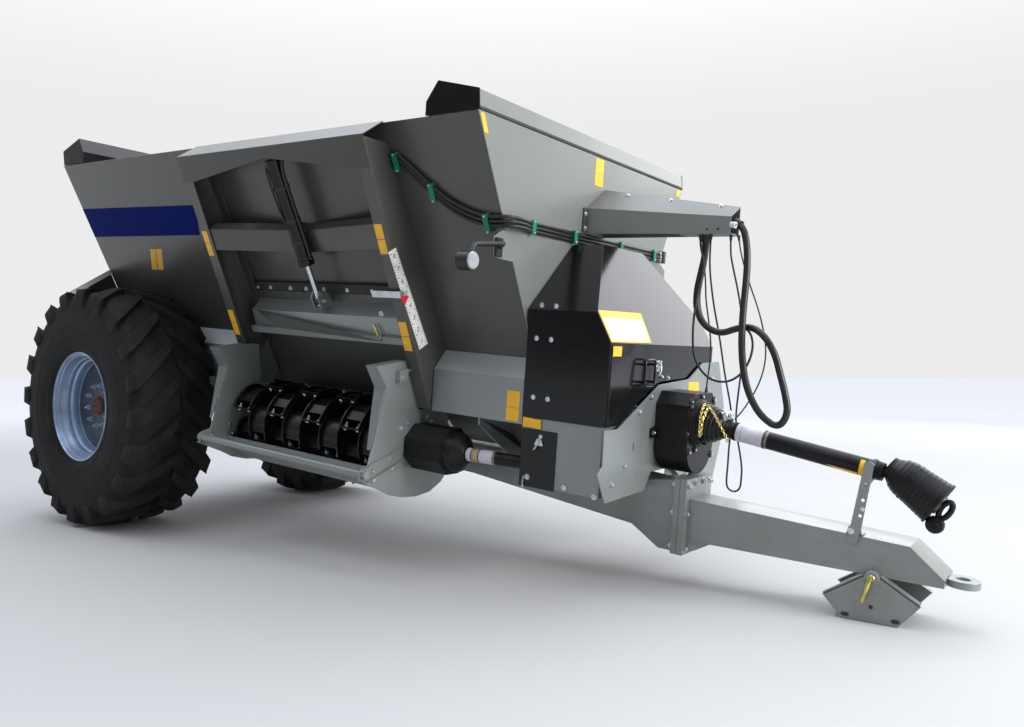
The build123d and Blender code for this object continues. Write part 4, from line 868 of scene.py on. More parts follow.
# ribbed collar that joins the gearbox guard to the shaft's first bell
col = Mesh()
prof = []
for i in range(25):
    t = i / 24.0
    r = 123 - 16 * t ** 1.2 - (4.5 if (i % 8) in (3, 4, 5) else 0.0)
    prof.append((r, 3829 + 45 * t))
prof += [(101, 3874), (104, 3860), (112, 3833)]
col.lathe((0, 0, 1099), (1, 0, 0), prof, 56, 0, closed=True)
for i in range(6):
    g = math.radians(20 + 60 * i)
    c = (3832, 131 * math.cos(g), 1099 + 131 * math.sin(g))
    col.lathe(c, (1, 0, 0), [(0, -2), (15, -2), (15, 5), (12, 7), (0, 7)], 18, 0)
    col.bolt((3838.5, c[1], c[2]), (1, 0, 0), 7.5, 1, False, 0)
col.make("guard_collar", "spreader", "guard_plastic", [PLASTIC, ZINC], 0.5)
neck = Mesh()
prof = [(30, 752)]
for i in range(17):
    t = i / 16.0
    prof.append((43.5 - 3.5 * t - (2.2 if i % 4 in (1, 2) else 0.0), 756 + 36 * t))
prof += [(34, 794), (30, 794)]
neck.lathe(PA, ALONG, prof, 40, 0, closed=True)
UPA = ALONG.cross(YY).normalized()
if UPA.z < 0:
    UPA = -UPA
# ribbed sleeve behind the film, and the zinc grip of the joint on top of it
neck.lathe(PA, ALONG, [(30, 74), (41.2, 74), (41.2, 131), (30, 131)], 40, 0, closed=True)
prof = [(40, 117)]
for i in range(9):
    prof.append((45.0 if i % 2 == 0 else 42.6, 118 + i * 1.4))
prof += [(40, 131)]
neck.lathe(PA, ALONG, prof, 40, 0, closed=True)
for deg in (-24, 22):
    o = around(PA, UPA, ALONG, 62, 58, deg)
    d2 = (o - PA - ALONG * 62).normalized()
    neck.lathe(o - d2 * 8, d2, [(0, 0), (17, 0), (17, 30), (14, 34), (0, 34)], 20, 1)
    neck.bolt(o + d2 * 25.5, d2, 9, 1, False, 3)
c0, c1 = around(PA, UPA, ALONG, 38, 84, -2), around(PA, UPA, ALONG, 100, 50, -2)
neck.tube([c0, (c0 + c1) / 2 + UPA * 8, c1], [7, 8, 6], 10, 1)
neck.lathe(around(PA, UPA, ALONG, 76, 66, -2), -YY, [(9, -16), (17, -16), (17, 16), (9, 16)], 20, 1, closed=True)
neck.make("shaft_joint_parts", "pto_shaft", "zinc_steel", [PLASTIC, ZINC], 0.6)


# ---------------------------------------------------------------- film plates, gauge and pointer
def post_y(z):
    return -1146.0 + (2345.0 - z) * (563.0 / 1293.0)


def two_tone(mesh, face, u0, u1, z_top, z_bot, split=0.5, gap=3.0, m=0):
    """Two plates, one above the other; face(u, z) gives the point on the panel."""
    zm = z_top + (z_bot - z_top) * split
    for a, b in ((z_top, zm + gap / 2), (zm - gap / 2, z_bot)):
        sticker(mesh, [face(u0, b), face(u1, b), face(u1, a), face(u0, a)], 0.4, 0.7, m)


films = Mesh()
for x0, x1, zt, zb in ((2513, 2566, 1964, 1826), (2515, 2570, 1500, 1354), (1055, 1106, 1956, 1818), (1057, 1110, 1502, 1352)):
    two_tone(films, lambda x, z: (x, post_y(z), z), x0, x1, zt, zb)
two_tone(films, lambda x, z: (x, -570.0, z), 3080, 3156, 1202, 1056, 0.56)
sticker(films, [(3184, -570, 1040), (3290, -570, 1036), (3290, -570, 1080), (3184, -570, 1084)], 0.5, 0.7)
two_tone(films, lambda y, z: (3168.0, y, z), -36, 46, 2428, 2286, 0.56)
sticker(films, [(3168, -978, 2350), (-1 + 3169, -950, 2350), (3168, -984, 2428), (3168, -1012, 2428)], 0.5, 0.7)
sticker(films, [(3168, 940, 2388), (3168, 985, 2388), (3168, 1008, 2432), (3168, 955, 2432)], 0.5, 0.7)
sticker(films, [on_wall(-8, 1745), on_wall(62, 1745), on_wall(146, 1880), on_wall(78, 1880)], 0.5, 0.7)
sticker(films, [on_wall(70, 1745), on_wall(140, 1745), on_wall(222, 1880), on_wall(154, 1880)], 0.5, 0.7)
sticker(films, [(3645.2, -562, 1410), (3645.2, -482, 1410), (3645.2, -482, 1455), (3645.2, -562, 1455)], 0.4, 0.7)
sticker(films, [(3655, 250, 1205), (3655, 380, 1205), (3655, 380, 1279), (3655, 250, 1279)], 0.5, 0.7)


def hood_x(z):
    return 3352.0 + (1950.0 - z) * (288.0 / 484.0)


def hood_pt(y, z):
    return (hood_x(z), y, z)


sticker(films, [hood_pt(-566, 1472), hood_pt(-172, 1476), hood_pt(-142, 1618), hood_pt(-560, 1612)], 0.6, 0.8)
# blank cream field on the large plate
sticker(films, [hood_pt(-552, 1480), hood_pt(-190, 1484), hood_pt(-166, 1584), hood_pt(-546, 1580)], 1.5, 0.4, 1)
films.make("film_plates", "spreader", "body_paint", [YELLOW, WHITE], 0.0)

band = Mesh()
band.prism([on_wall(-604.5, 2155, 0.5), on_wall(804, 2135, 0.5), on_wall(734, 1962, 0.5), on_wall(-604.5, 1966, 0.5)], tuple(Vector(WALL_N) * 0.7))
band.make("blue_band", "spreader", "body_paint", [BLUE], 0.0)

# gauge strip on the front face of the front post, with ticks and figures 1 to 8
GA, GB2 = Vector((2590, -922, 1846)), Vector((2590, -658, 1380))
gl = (GB2 - GA)
gdir = gl.normalized()
gw = Vector((0, gdir.z, -gdir.y))
if gw.y > 0:
    gw = -gw
gauge = Mesh()
gauge.prism([GA + gw * 28 + Vector((0.5, 0, 0)), GA - gw * 28 + Vector((0.5, 0, 0)), GB2 - gw * 34 + Vector((0.5, 0, 0)), GB2 + gw * 34 + Vector((0.5, 0, 0))], (0.8, 0, 0), 0)
total = gl.length
for i in range(33):
    c = GA + gdir * (16 + (total - 32) * i / 32)
    w = 15 if i % 4 == 0 else 8
    edge = 26 + 5 * i / 32
    a = c + gw * edge
    b = c + gw * (edge - w)
    h = gdir * (1.9 if i % 4 == 0 else 1.2)
    gauge.prism([a - h + Vector((1.3, 0, 0)), b - h + Vector((1.3, 0, 0)), b + h + Vector((1.3, 0, 0)), a + h + Vector((1.3, 0, 0))], (0.4, 0, 0), 1)
    a2, b2 = c - gw * edge, c - gw * (edge - w * 0.7)
    gauge.prism([a2 - h + Vector((1.3, 0, 0)), b2 - h + Vector((1.3, 0, 0)), b2 + h + Vector((1.3, 0, 0)), a2 + h + Vector((1.3, 0, 0))], (0.4, 0, 0), 1)
gauge.make("gauge_strip", "spreader", "body_paint", [WHITE, DARKP], 0.0)


def figure(text, centre, xdir, ydir, size, name):
    """A printed figure, as a thin flat mesh. centre in machine mm; xdir and ydir along the panel."""
    fc = bpy.data.curves.new(name + "_txt", "FONT")
    fc.body = text
    fc.align_x, fc.align_y = "CENTER", "CENTER"
    fc.size = size
    fc.extrude = 0.25
    to = bpy.data.objects.new(name + "_txt", fc)
    SCENE.collection.objects.link(to)
    bpy.context.view_layer.update()
    me = bpy.data.meshes.new_from_object(to.evaluated_get(bpy.context.evaluated_depsgraph_get()))
    bpy.data.objects.remove(to)
    X, Y = Vector(xdir).normalized(), Vector(ydir).normalized()
    Z = X.cross(Y)
    out = Mesh()
    vs = [Vector(centre) + X * v.co.x + Y * v.co.y + Z * v.co.z for v in me.vertices]
    out.add(vs, [list(p.vertices) for p in me.polygons], 0)
    bpy.data.meshes.remove(me)
    return out


digits = Mesh()
for i in range(8):
    c = GA + gdir * (total * (i + 0.5) / 8) + Vector((1.5, 0, 0))
    d = figure(str(8 - i), c, (0, 1, 0), (0, 0, 1), 34.0, "fig%d" % i)
    digits.add(d.v, d.f, 0)
digits.make("gauge_figures", "spreader", "body_paint", [DARKP], 0.0)

point = Mesh()
point.prism([(2601.2, -858, 1630), (2601.2, -798, 1633), (2601.2, -826, 1578)], (1.6, 0, 0), 0)
point.make("pointer_arrow", "door", "body_paint", [RED], 0.4)

# ---------------------------------------------------------------- door furniture
MID = (1050.0 + 2590.0) / 2.0


def cyl(z, dx=0.0, off=100.0):
    return (MID + dx, wall_y(z, off), z)


door = Mesh()
for x in (1185, 1308, 1497, 1640, 1799, 1992, 2191, 2400):
    door.bolt(on_wall(x, 1665, 25.4), WALL_N, 9.5, 0, True, 2.5)
door.bolt(on_wall(2432, 1634, 219.5), WALL_N, 11, 0, True, 4)
door.bolt(cyl(1588, 40), (1, 0, 0), 12, 0, True, 6)
door.bolt(cyl(1588, -38), (-1, 0, 0), 12, 0, True, 4)
door.lathe(cyl(1588, -22), (1, 0, 0), [(0, 0), (24, 0), (26, 3), (26, 41), (24, 44), (0, 44)], 28, 2)
# pin with a cross handle that locks the flap
door.tube([(2236, -676, 1476), (2247, -668, 1448), (2262, -655, 1402)], 7.5, 12, 1)
door.rod((2262, -655, 1402), (2330, -648, 1408), 6.0, n=12, m=0)
door.bolt((2318, -651, 1407), (1, 0.1, 0.1), 12, 0, True, 6)
door.box(2286, 2292, -676, -640, 1392, 1424, 0)
door.make("door_fastenings", "door", "zinc_steel", [ZINC, BRASS, SATIN], 0.0)
lip = Mesh()
N = 76
top, bot = [], []
for i in range(N + 1):
    x = 1160 + (2484 - 1160) * i / N
    top.append(on_wall(x, 1641, 15.6))
    bot.append(on_wall(x, 1622 + 3.6 * math.sin(i * 0.95) + 2.0 * math.sin(i * 0.37 + 1), 16.0 + 2.0 * math.sin(i * 0.95)))
for i in range(N):
    lip.prism([bot[i], bot[i + 1], top[i + 1], top[i]], tuple(Vector(WALL_N) * 2.0), 0)
lip.make("door_seal_lip", "door", "body_paint", [PAINT_SHADED], 0.0)
# thin rod along the deflector's front edge in the lighter paint copy: painted highlight on the edge
deflector_highlight_rod = Mesh()
deflector_highlight_rod.tube([(1205, -673, 1511), (1420, -698, 1415), (2326, -692, 1386)], 2.2, 8, 0)
deflector_highlight_rod.make("deflector_edge_highlight", "door", "body_paint", [PAINT_LIT], 0.0)

line = Mesh()
hz = [cyl(z, 54, 104) for z in (2225, 2150, 2050, 1950, 1880, 1845)]
line.tube([cyl(2335, 150, 92), cyl(2318, 100, 94), cyl(2285, 66, 100)] + hz + [cyl(1822, 50, 103), cyl(1812, 40, 101)], 9.5, 12, 0)
line.tube([cyl(2285, -20, 128), cyl(2240, -22, 146), cyl(2160, -22, 149), cyl(2060, -20, 147), cyl(1980, -10, 143), cyl(1960, -2, 140)], 7.0, 10, 0)
for z in (2170, 2010, 1900):
    line.lathe(cyl(z - 8), Vector((0, SLOPE / NORM * -1.0, 1.0 / NORM)), [(41, 0), (44, 0), (44, 18), (41, 18)], 28, 0, closed=True)
    line.lathe(cyl(z - 6, 54, 104), Vector((0, SLOPE / NORM * -1.0, 1.0 / NORM)), [(9, 0), (13, 0), (13, 12), (9, 12)], 16, 0, closed=True)
line.bolt(cyl(1812, 41, 101), (1, -0.3, 0), 8, 1, False, 6)
line.lathe(cyl(1786), Vector((0, SLOPE / NORM * -1.0, 1.0 / NORM)), [(17, -3), (38, -3), (40, 0), (40, 4), (17, 4)], 32, 0, closed=True)
line.make("cylinder_lines", "spreader", "hose_rubber", [SATIN, ZINC], 0.6)

seal = Mesh()
seal.tube([on_wall(1138, 1812, 5), on_wall(1146, 1740, 5), on_wall(1148, 1640, 5), on_wall(1149, 1500, 5), on_wall(1150, 1300, 5), on_wall(1158, 1180, 5), on_wall(1168, 1075, 5)], 5.0, 8, 0)
seal.make("door_edge_seal", "spreader", "hose_rubber", [SEAL], 0.0)


# ---------------------------------------------------------------- folded edges, brackets and bolts round the rotor
def strip(mesh, pts, x0, dirx, t=5.0, m=0):
    """Folded edge: pts are (y, z, width); it stands out of the plate at x0 by each width."""
    P = [Vector((0, y, z)) for y, z, w in pts]
    n = len(P)
    nrm = []
    for i in range(n):
        d = P[min(i + 1, n - 1)] - P[max(i - 1, 0)]
        nrm.append(Vector((0, d.z, -d.y)).normalized())
    a = [Vector((x0, p.y, p.z)) for p in P]
    b = [Vector((x0 + dirx * w, p.y, p.z)) for p, (_, _, w) in zip(P, pts)]
    a2 = [p + q * t for p, q in zip(a, nrm)]
    b2 = [p + q * t for p, q in zip(b, nrm)]
    verts = a + b + a2 + b2
    faces = []
    for i in range(n - 1):
        faces += [[i, i + 1, n + i + 1, n + i], [2 * n + i, 3 * n + i, 3 * n + i + 1, 2 * n + i + 1],
                  [n + i, n + i + 1, 3 * n + i + 1, 3 * n + i], [i, 2 * n + i, 2 * n + i + 1, i + 1]]
    faces += [[0, n, 3 * n, 2 * n], [n - 1, 3 * n - 1, 4 * n - 1, 2 * n - 1]]
    if dirx < 0:
        faces = [f[::-1] for f in faces]
    mesh.add(verts, faces, m)


edges = Mesh()
for xp in (1140.0, 2497.0):
    strip(edges, [(-706, 1295, 60), (-893, 1268, 75), (-820, 1160, 80), (-862, 1005, 52), (-905, 850, 20)], xp + 2, -1)
strip(edges, [(-980, 752, 22), (-960, 767, 22), (-700, 849, 22)], 2511, 1, 4)
strip(edges, [(-690, 786, 22), (-948, 691, 22), (-984, 706, 22)], 2511, 1, 4)
strip(edges, [(-980, 752, 20), (-960, 767, 20), (-700, 849, 20)], 1134, -1, 4)
strip(edges, [(-690, 786, 20), (-948, 691, 20), (-984, 706, 20)], 1134, -1, 4)
# channel folded along the top of the front side plate, and the lug that the stud passes through
edges.prism([(2418, -664, 1296), (2500, -664, 1296), (2500, -890, 1266), (2418, -890, 1266)], (0, -0.7, 5))
edges.prism([(2506, -640, 1225), (2506, -600, 1232), (2506, -572, 1316), (2506, -604, 1322)], (6, 0, 0))
edges.prism([(2505, -760, 1250), (2505, -700, 1262), (2505, -700, 1200), (2505, -760, 1190)], (30, 0, 0))
edges.make("rotor_plate_edges", "spreader", "body_paint", [PAINT_LOW_LIGHTENED], 1.0)

hard = Mesh()
for y, z in ((-906, 753), (-785, 806), (-761, 749)):
    hard.bolt((1148, y, z), (1, 0, 0), 10, 0)
for y, z in ((-897, 747), (-783, 802), (-764, 748), (-886, 700)):
    hard.bolt((2512, y, z), (1, 0, 0), 10.5, 0)
for y, z in ((-640, 905), (-560, 960), (-470, 905), (-640, 795), (-560, 740), (-470, 795)):
    hard.bolt((1140, y, z), (-1, 0, 0), 10, 0)
hard.rod((2522, -742, 1216), (2522, -586, 1304), 7.5, n=14, m=0)
hd = Vector((0, 156, 88)).normalized()
hard.bolt(Vector((2522, -742, 1216)), -hd, 15, 0, True, 5)
hard.bolt(Vector((2522, -655, 1265)), hd, 17, 1, True, 0)
hard.bolt(Vector((2522, -612, 1289)), hd, 17, 1, True, 6)
# four bolts of the rotor's outboard bearing
for a in range(4):
    g = math.radians(45 + 90 * a)
    hard.bolt((1128, -555 + 82 * math.cos(g), 850 + 82 * math.sin(g)), (-1, 0, 0), 12, 0)
for y, z in ((-608, 902), (-533, 929), (-502, 906), (-659, 879)):
    hard.bolt((2505, y - 40 if y < -600 else y + 30, z + 70), (1, 0, 0), 9, 0)
# side panel of the drive guard
for x, z in ((3251, 1624), (3333, 1622)):
    hard.bolt((x, -570, z - 22 + 22), (0, -1, 0), 9, 0, True, 0)
for x, z in ((3234, 1466), (3318, 1464), (3237, 1185), (3320, 1184)):
    hard.bolt((x, -572.5, z), (0, -1, 0), 9.5, 0, True, 0)
for x, z in ((3438, 782), (3602, 768), (3230, 800)):
    hard.bolt((x, -566 if x > 3390 else -571, z), (0, -1, 0), 11, 0, True, 4)
for y, z in ((-175, 1215), (-289, 1147), (-400, 900), (-511, 825), (560, 1290), (500, 900), (300, 800)):
    hard.bolt((3655, y, z), (1, 0, 0), 11, 0, True, 5)
hard.box(3655, 3656.2, -327, -321, 965, 1001, 2)
# flanges of the drawbar joint
for y in (-126, 126):
    for z in (806, 670, 506):
        hard.bolt((3862, y, z), (1, 0, 0), 15, 0, True, 6)
        hard.bolt((3800, y, z), (-1, 0, 0), 15, 0, True, 9)
for y in (-45, 45):
    hard.bolt((3862, y, 812), (1, 0, 0), 15, 0, True, 6)
    hard.bolt((3800, y, 830), (-1, 0, 0), 15, 0, True, 6)
# spill cover
for y in (-860, -430, 0, 430, 860):
    hard.bolt((3110, y, 2538.9), (0.2445, 0, 0.9697), 8, 0, True, 0)
# hose arm
for x in (3330, 3590, 3865):
    t = (x - 3170) / 790.0
    ya, za = -100, 2155 - 65 * t
    yb, zb = 80 - 70 * t, 2278 - 128 * t
    c = Vector((x, yb + (ya - yb) * 0.14, zb + (za - zb) * 0.14))
    nn = Vector((0, -(zb - za), yb - ya)).normalized()
    hard.bolt(c + nn * 0.3, nn, 8, 0, True, 0)
for x in (3845, 3900):
    hard.lathe((x, -100.2, 2033), (0, -1, 0), [(0, 0), (6, 0), (6, 0.5), (0, 0.5)], 16, 2)
hard.lathe((3958, -92, 2052), (1, -0.1, -0.1), [(0, 0), (15, 0), (15, 26), (9, 26), (9, 4), (0, 4)], 20, 3)
for z in (2048, 2122):
    hard.bolt((3178, -116, z), (1, -0.2, 0), 8, 0, True, 0)
hard.box(3168.5, 3178, -134, -98, 2024, 2152, 4)
# gearbox guard ears and bolts
for y, z in ((-143, 1040), (227, 1000)):
    hard.prism([(3657, y - 24, z - 22), (3657, y + 34, z - 30), (3657, y + 34, z + 30), (3657, y - 24, z + 22)], (11, 0, 0), 5)
    hard.bolt((3668, y - 4, z), (1, 0, 0), 9, 0)
for y, z in ((-97, 1205), (-91, 962), (175, 1205), (180, 930)):
    hard.lathe((3828, y, z), (1, 0, 0), [(0, 0), (19, 0), (19, 7), (16, 9), (0, 9)], 24, 5)
    hard.bolt((3837, y, z), (1, 0, 0), 9, 0, False, 0)
for y, z in ((-60, 1310), (-8, 1305)):
    hard.bolt((3655 if y > -40 else 3646, y, z), (1, 0, 0), 9, 0)
hard.make("fastenings", "spreader", "zinc_steel", [ZINC, BRASS, DARKP, LILAC, PAINT_SHADED, PLASTIC], 0.0)

# side sheet of the guard, lapped over the hood
lap = Mesh()
lap.prism([(3180, -570, 1602), (3556, -570, 1601), (3637, -570, 1464), (3637, -570, 1088), (3180, -570, 1107)], (0, -2.5, 0))
lap.prism([(3640, -570 + 4, 1470), (3640, 566, 1470), (3640, 566, 1450), (3640, -566, 1450)], (2.2, 0, 0))
lap.make("guard_side_sheet", "spreader", "black_paint", [BLACK], 0.8)

# handle, latch and hinge knuckles of the front panel
pan = Mesh()
pan.tube([(3675, -192, 1382), (3675, -198, 1392), (3675, -212, 1396), (3675, -274, 1396), (3675, -288, 1391), (3675, -294, 1380), (3675, -294, 1284), (3675, -288, 1273),
          (3675, -274, 1268), (3675, -212, 1268), (3675, -198, 1272), (3675, -192, 1282)], 5.8, 12, 0, closed=True)
for y in (-294, -192):
    for z in (1290, 1374):
        pan.rod((3645, y, z), (3675, y, z), 5.8, n=12, m=0)
for z in (1120, 1240, 1360, 1430):
    pan.lathe((3643.1, -564, z - 16), (0, 0, 1), [(0, 0), (5.0, 0), (5.0, 32), (0, 32)], 14, 0)
pan.box(3645, 3650, -132, -76, 1338, 1392, 1)
pan.tube([(3652, -96, 1380), (3660, -100, 1366), (3662, -106, 1340), (3656, -112, 1318)], [7, 6, 6, 5], 10, 1)
for y, z in ((-120, 1382), (-88, 1384), (-84, 1346)):
    pan.bolt((3650, y, z), (1, 0, 0), 7.5, 1, False, 3)
pan.make("panel_handle_and_latch", "panel", "black_paint", [BLACK, ZINC], 0.6)


# ---------------------------------------------------------------- chains
def chain(mesh, pts, r=2.0, link=15.0, m=0):
    """Short links along the points, every second one turned a quarter."""
    P = [Vector(p) for p in pts]
    seg = [(b - a).length for a, b in zip(P, P[1:])]
    L = sum(seg)
    count = int(L / (link * 0.72))
    for i in range(count):
        s = (i + 0.5) * L / count
        k = 0
        while k < len(seg) - 1 and s > seg[k]:
            s -= seg[k]
            k += 1
        d = (P[k + 1] - P[k]).normalized()
        c = P[k] + d * s
        h = Vector((0, 0, 1)) if abs(d.z) < 0.9 else Vector((1, 0, 0))
        u = d.cross(h).normalized()
        if i % 2:
            u = d.cross(u).normalized()
        ring = []
        for j in range(14):
            g = 2 * math.pi * j / 14
            ring.append(c + d * math.cos(g) * link * 0.5 + u * math.sin(g) * link * 0.3)
        mesh.tube(ring, r, 6, m, closed=True)


ch = Mesh()
chain(ch, [(3880, -52, 1201), (3884, -84, 1178), (3887, -106, 1140), (3889, -114, 1102), (3890, -114, 1068), (3891, -111, 1048), (3897, -111, 1064), (3899, -112, 1100), (3900, -104, 1136),
           (3903, -86, 1166), (3906, -58, 1190)], 2.4, 17)
chain(ch, [(3880, -52, 1201), (3896, -56, 1196), (3914, -61, 1183)], 2.4, 17)
ch.make("guard_chain", "spreader", "zinc_steel", [BRASS], 0.0)
ch1 = Mesh()
chain(ch1, [(3914, -61, 1183), (3936, -66, 1160), (3956, -70, 1132), (3974, -66, 1104), (3990, -61, 1076), (4004, -56, 1052), (4008, -54, 1036)], 2.4, 17)
ch1.make("shaft_chain", "pto_shaft", "zinc_steel", [BRASS], 0.0)
ch2 = Mesh()
chain(ch2, [(3292, -578, 1000), (3290, -580, 975), (3276, -582, 950), (3262, -582, 935)], 1.8, 13)
ch2.prism([(3262, -572, 958), (3312, -572, 958), (3300, -572, 990), (3276, -572, 990)], (0, -4, 0))
ch2.bolt((3294, -572, 1002), (0, -1, 0), 8, 0)
chain(ch2, [(3212, -576, 800), (3209, -578, 770), (3212, -579, 745)], 1.8, 13)
ch2.make("case_chain", "spreader", "zinc_steel", [ZINC], 0.0)

# ---------------------------------------------------------------- power shaft films and collars
ps = Mesh()
ps.lathe(PA, ALONG, [(41.1, 133), (42.6, 134), (42.6, 266), (41.1, 267)], 48, 1, closed=True)
for d0, d1, r in ((130.5, 134.5, 43.6), (158, 160, 42.9), (264, 270, 44.4)):
    ps.lathe(PA, ALONG, [(41.1, d0), (r, d0 + 0.4), (r, d1 - 0.4), (41.1, d1)], 48, 0, closed=True)
ps.lathe(PA, ALONG, [(41.1, 270), (42.2, 271), (42.2, 282), (41.1, 284)], 48, 3, closed=True)
ps.lathe(PA, ALONG, [(41.1, 742), (46, 744), (47, 749), (47, 756), (44, 759), (41.1, 759)], 40, 0, closed=True)


def wrap(mesh, d0, d1, g0, g1, r, m, skew=0.0):
    """Film on the shaft's tube between two distances and two angles from up, towards the right."""
    n = 10
    verts, faces = [], []
    for k in range(n + 1):
        g = g0 + (g1 - g0) * k / n
        for rr in (r - 0.8, r):
            verts.append(around(PA, UPA, ALONG, d0 + skew * k / n, rr, g))
            verts.append(around(PA, UPA, ALONG, d1, rr, g))
    for k in range(n):
        a_, b_ = 4 * k, 4 * k + 4
        faces += [[a_ + 2, a_ + 3, b_ + 3, b_ + 2], [a_ + 1, a_, b_, b_ + 1], [a_, a_ + 2, b_ + 2, b_], [a_ + 3, a_ + 1, b_ + 1, b_ + 3]]
    faces += [[0, 1, 3, 2], [4 * n + 1, 4 * n, 4 * n + 2, 4 * n + 3]]
    mesh.add(verts, faces, m)


wrap(ps, 698, 718, 40, 168, 42.2, 2)
wrap(ps, 560, 694, 132, 168, 41.9, 2, 90.0)
ps.make("shaft_collars", "pto_shaft", "guard_plastic", [SATIN, LILAC, YELLOW, WORN], 0.0)

# foot bolts of the shaft's stay
st_ = Mesh()
st_.box(4582, 4648, -112, -52, 726, 732, 0)
st_.prism([(4582, -112, 726), (4648, -112, 726), (4640, -112, 762), (4592, -112, 762)], (0, 5, 0), 0)
st_.bolt((4602, -118, 742), (0, -1, 0), 11, 1, True, 3)
st_.bolt((4628, -82, 732), (0, 0, 1), 12, 1, True, 4)
st_.bolt((4641, -118, 842), (0, -1, 0), 7, 1, True, 2)
st_.make("stay_foot", "spreader", "zinc_steel", [PAINT_LOW_LIGHTENED, ZINC], 1.0)

# ---------------------------------------------------------------- beaters: studs through each tip paddle
beat = Mesh()
for row in range(8):
    ang = math.radians(17.0 + 45.0 * row)
    cr, sr = math.cos(ang), math.sin(ang)
    for k in range(4):
        xc = (1254.0 if row % 2 == 0 else 1412.0) + 316.0 * k
        for dx in (-48.5, 48.5):
            o = Vector((xc + dx, -555.0 - 213 * cr + 2 * sr, 850.0 + 213 * sr + 2 * cr))
            ax = Vector((0, sr, cr))
            beat.bolt(o, ax, 13, 0, True, 16)
            beat.lathe(o - ax * 11.4, -ax, [(0, -0.4), (13, -0.4), (13, 2), (10, 6), (0, 7.5)], 18, 0)
beat.make("beater_studs", "rotor", "zinc_steel", [ZINC], 0.0)

# ---------------------------------------------------------------- skid: pin handle, folded edges and holes, drawn square to the ground
sk = Mesh()
pc = T((4704, 0, 566)) * 1000.0
px, pz = pc.x, pc.z
tipf, tipr, apf, apr = (px + 186, 99), (px - 201, 91), (px + 24, pz + 14), (px - 24, pz + 14)
for sy in (-1, 1):
    yo = 134.0 if sy > 0 else -134.0
    for (xa, za), (xb, zb), f0, f1 in ((apr, tipr, 0.05, 0.97), (apf, tipf, 0.05, 0.97)):
        p0 = Vector((xa + (xb - xa) * f0, yo, za + (zb - za) * f0))
        p1 = Vector((xa + (xb - xa) * f1, yo, za + (zb - za) * f1))
        d = (p1 - p0).normalized()
        nn = Vector((-d.z, 0, d.x))
        if nn.z < 0:
            nn = -nn
        pts = [p0 - nn * 6, p1 - nn * 6, p1 + nn * 0.8, p0 + nn * 0.8]
        inn = Vector((0, -8 if sy > 0 else 8, 0))
        sk.prism(pts, inn, 0)
        fl = [p0 + nn * 0.8, p1 + nn * 0.8, p1 + nn * 5.6, p0 + nn * 5.6]
        sk.prism(fl, Vector((0, -30 if sy > 0 else 30, 0)), 0)
for x, z, a1, b1 in ((px - 4, 66, 9, 9), (px - 107, 20, 18, 9), (px + 90, 22, 18, 10)):
    ring = [(x + a1 * math.cos(math.radians(18 * i)), -134.2, z + b1 * math.sin(math.radians(18 * i))) for i in range(20)]
    sk.prism(ring, (0, -0.5, 0), 2)
    ring2 = [(p[0], 134.2, p[2]) for p in ring]
    sk.prism(ring2, (0, 0.5, 0), 2)
sk.lathe((px, -133, pz), (0, -1, 0), [(0, 0), (31, 0), (31, 7), (27, 10), (0, 10)], 32, 0)
sk.lathe((px, 133, pz), (0, 1, 0), [(0, 0), (31, 0), (31, 7), (27, 10), (0, 10)], 32, 0)
sk.lathe((px, -150, pz), (0, -1, 0), [(0, 0), (16, 0), (14, 3), (0, 3)], 24, 1)
sk.tube([(px, -144, pz + 4), (px - 1, -158, pz), (px - 6, -162, pz - 14), (px - 34, -162, pz - 98)], [9, 10, 10, 9.5], 14, 1)
sk.tube([(px, 150, pz), (px, 160, pz)], [7, 6], 12, 1)
sk.v = [tuple(Vector(v) / 1000.0) for v in sk.v]
sk.make("skid_pin_and_edges", "skid", "body_paint", [PAINT_LOW_LIGHTENED, BRASS, DARKP], 0.6, raw=True)

# ---------------------------------------------------------------- sleeves where the cords leave and enter
glands = Mesh()
for cname, (rad, length, stiff, lay, route) in ARM_EXITS.items():
    for a_, b_ in ((route[0], route[1]), (route[-1], route[-2])):
        a_, b_ = Vector(a_), Vector(b_)
        d = (b_ - a_).normalized()
        h = 26.0 if rad < 10 else 36.0
        big = rad + (4.0 if rad < 10 else 6.0)
        prof = [(rad + 0.2, -2), (big, -2), (big, 5)]
        for i in range(1, 7):
            t = i / 6.0
            prof.append((big - (big - rad - 1.4) * t - (0.7 if i % 2 else 0.0), 5 + (h - 5) * t))
        prof += [(rad + 0.2, h)]
        glands.lathe(a_, d, prof, 20, 0, closed=True)
glands.make("cord_sleeves", "spreader", "hose_rubber", [SEAL], 0.0)

# ---------------------------------------------------------------- lamps: lenses front and rear
lz = Mesh()
rear_x = -600.0 - 4.0
for s_ in (-1,):
    lz.lathe((3240, s_ * 1090, 1782), (1, 0, 0), [(0, -1), (38, -1), (38, 2), (34, 7), (20, 10.5), (0, 12)], 36, 0)
    lz.lathe((3176, s_ * 1090, 1782), (-1, 0, 0), [(0, -1), (38, -1), (38, 2), (34, 7), (20, 10.5), (0, 12)], 36, 1)
lz.make("lamp_lenses", "spreader", "guard_plastic", [LENS, RED_LENS], 0.0)

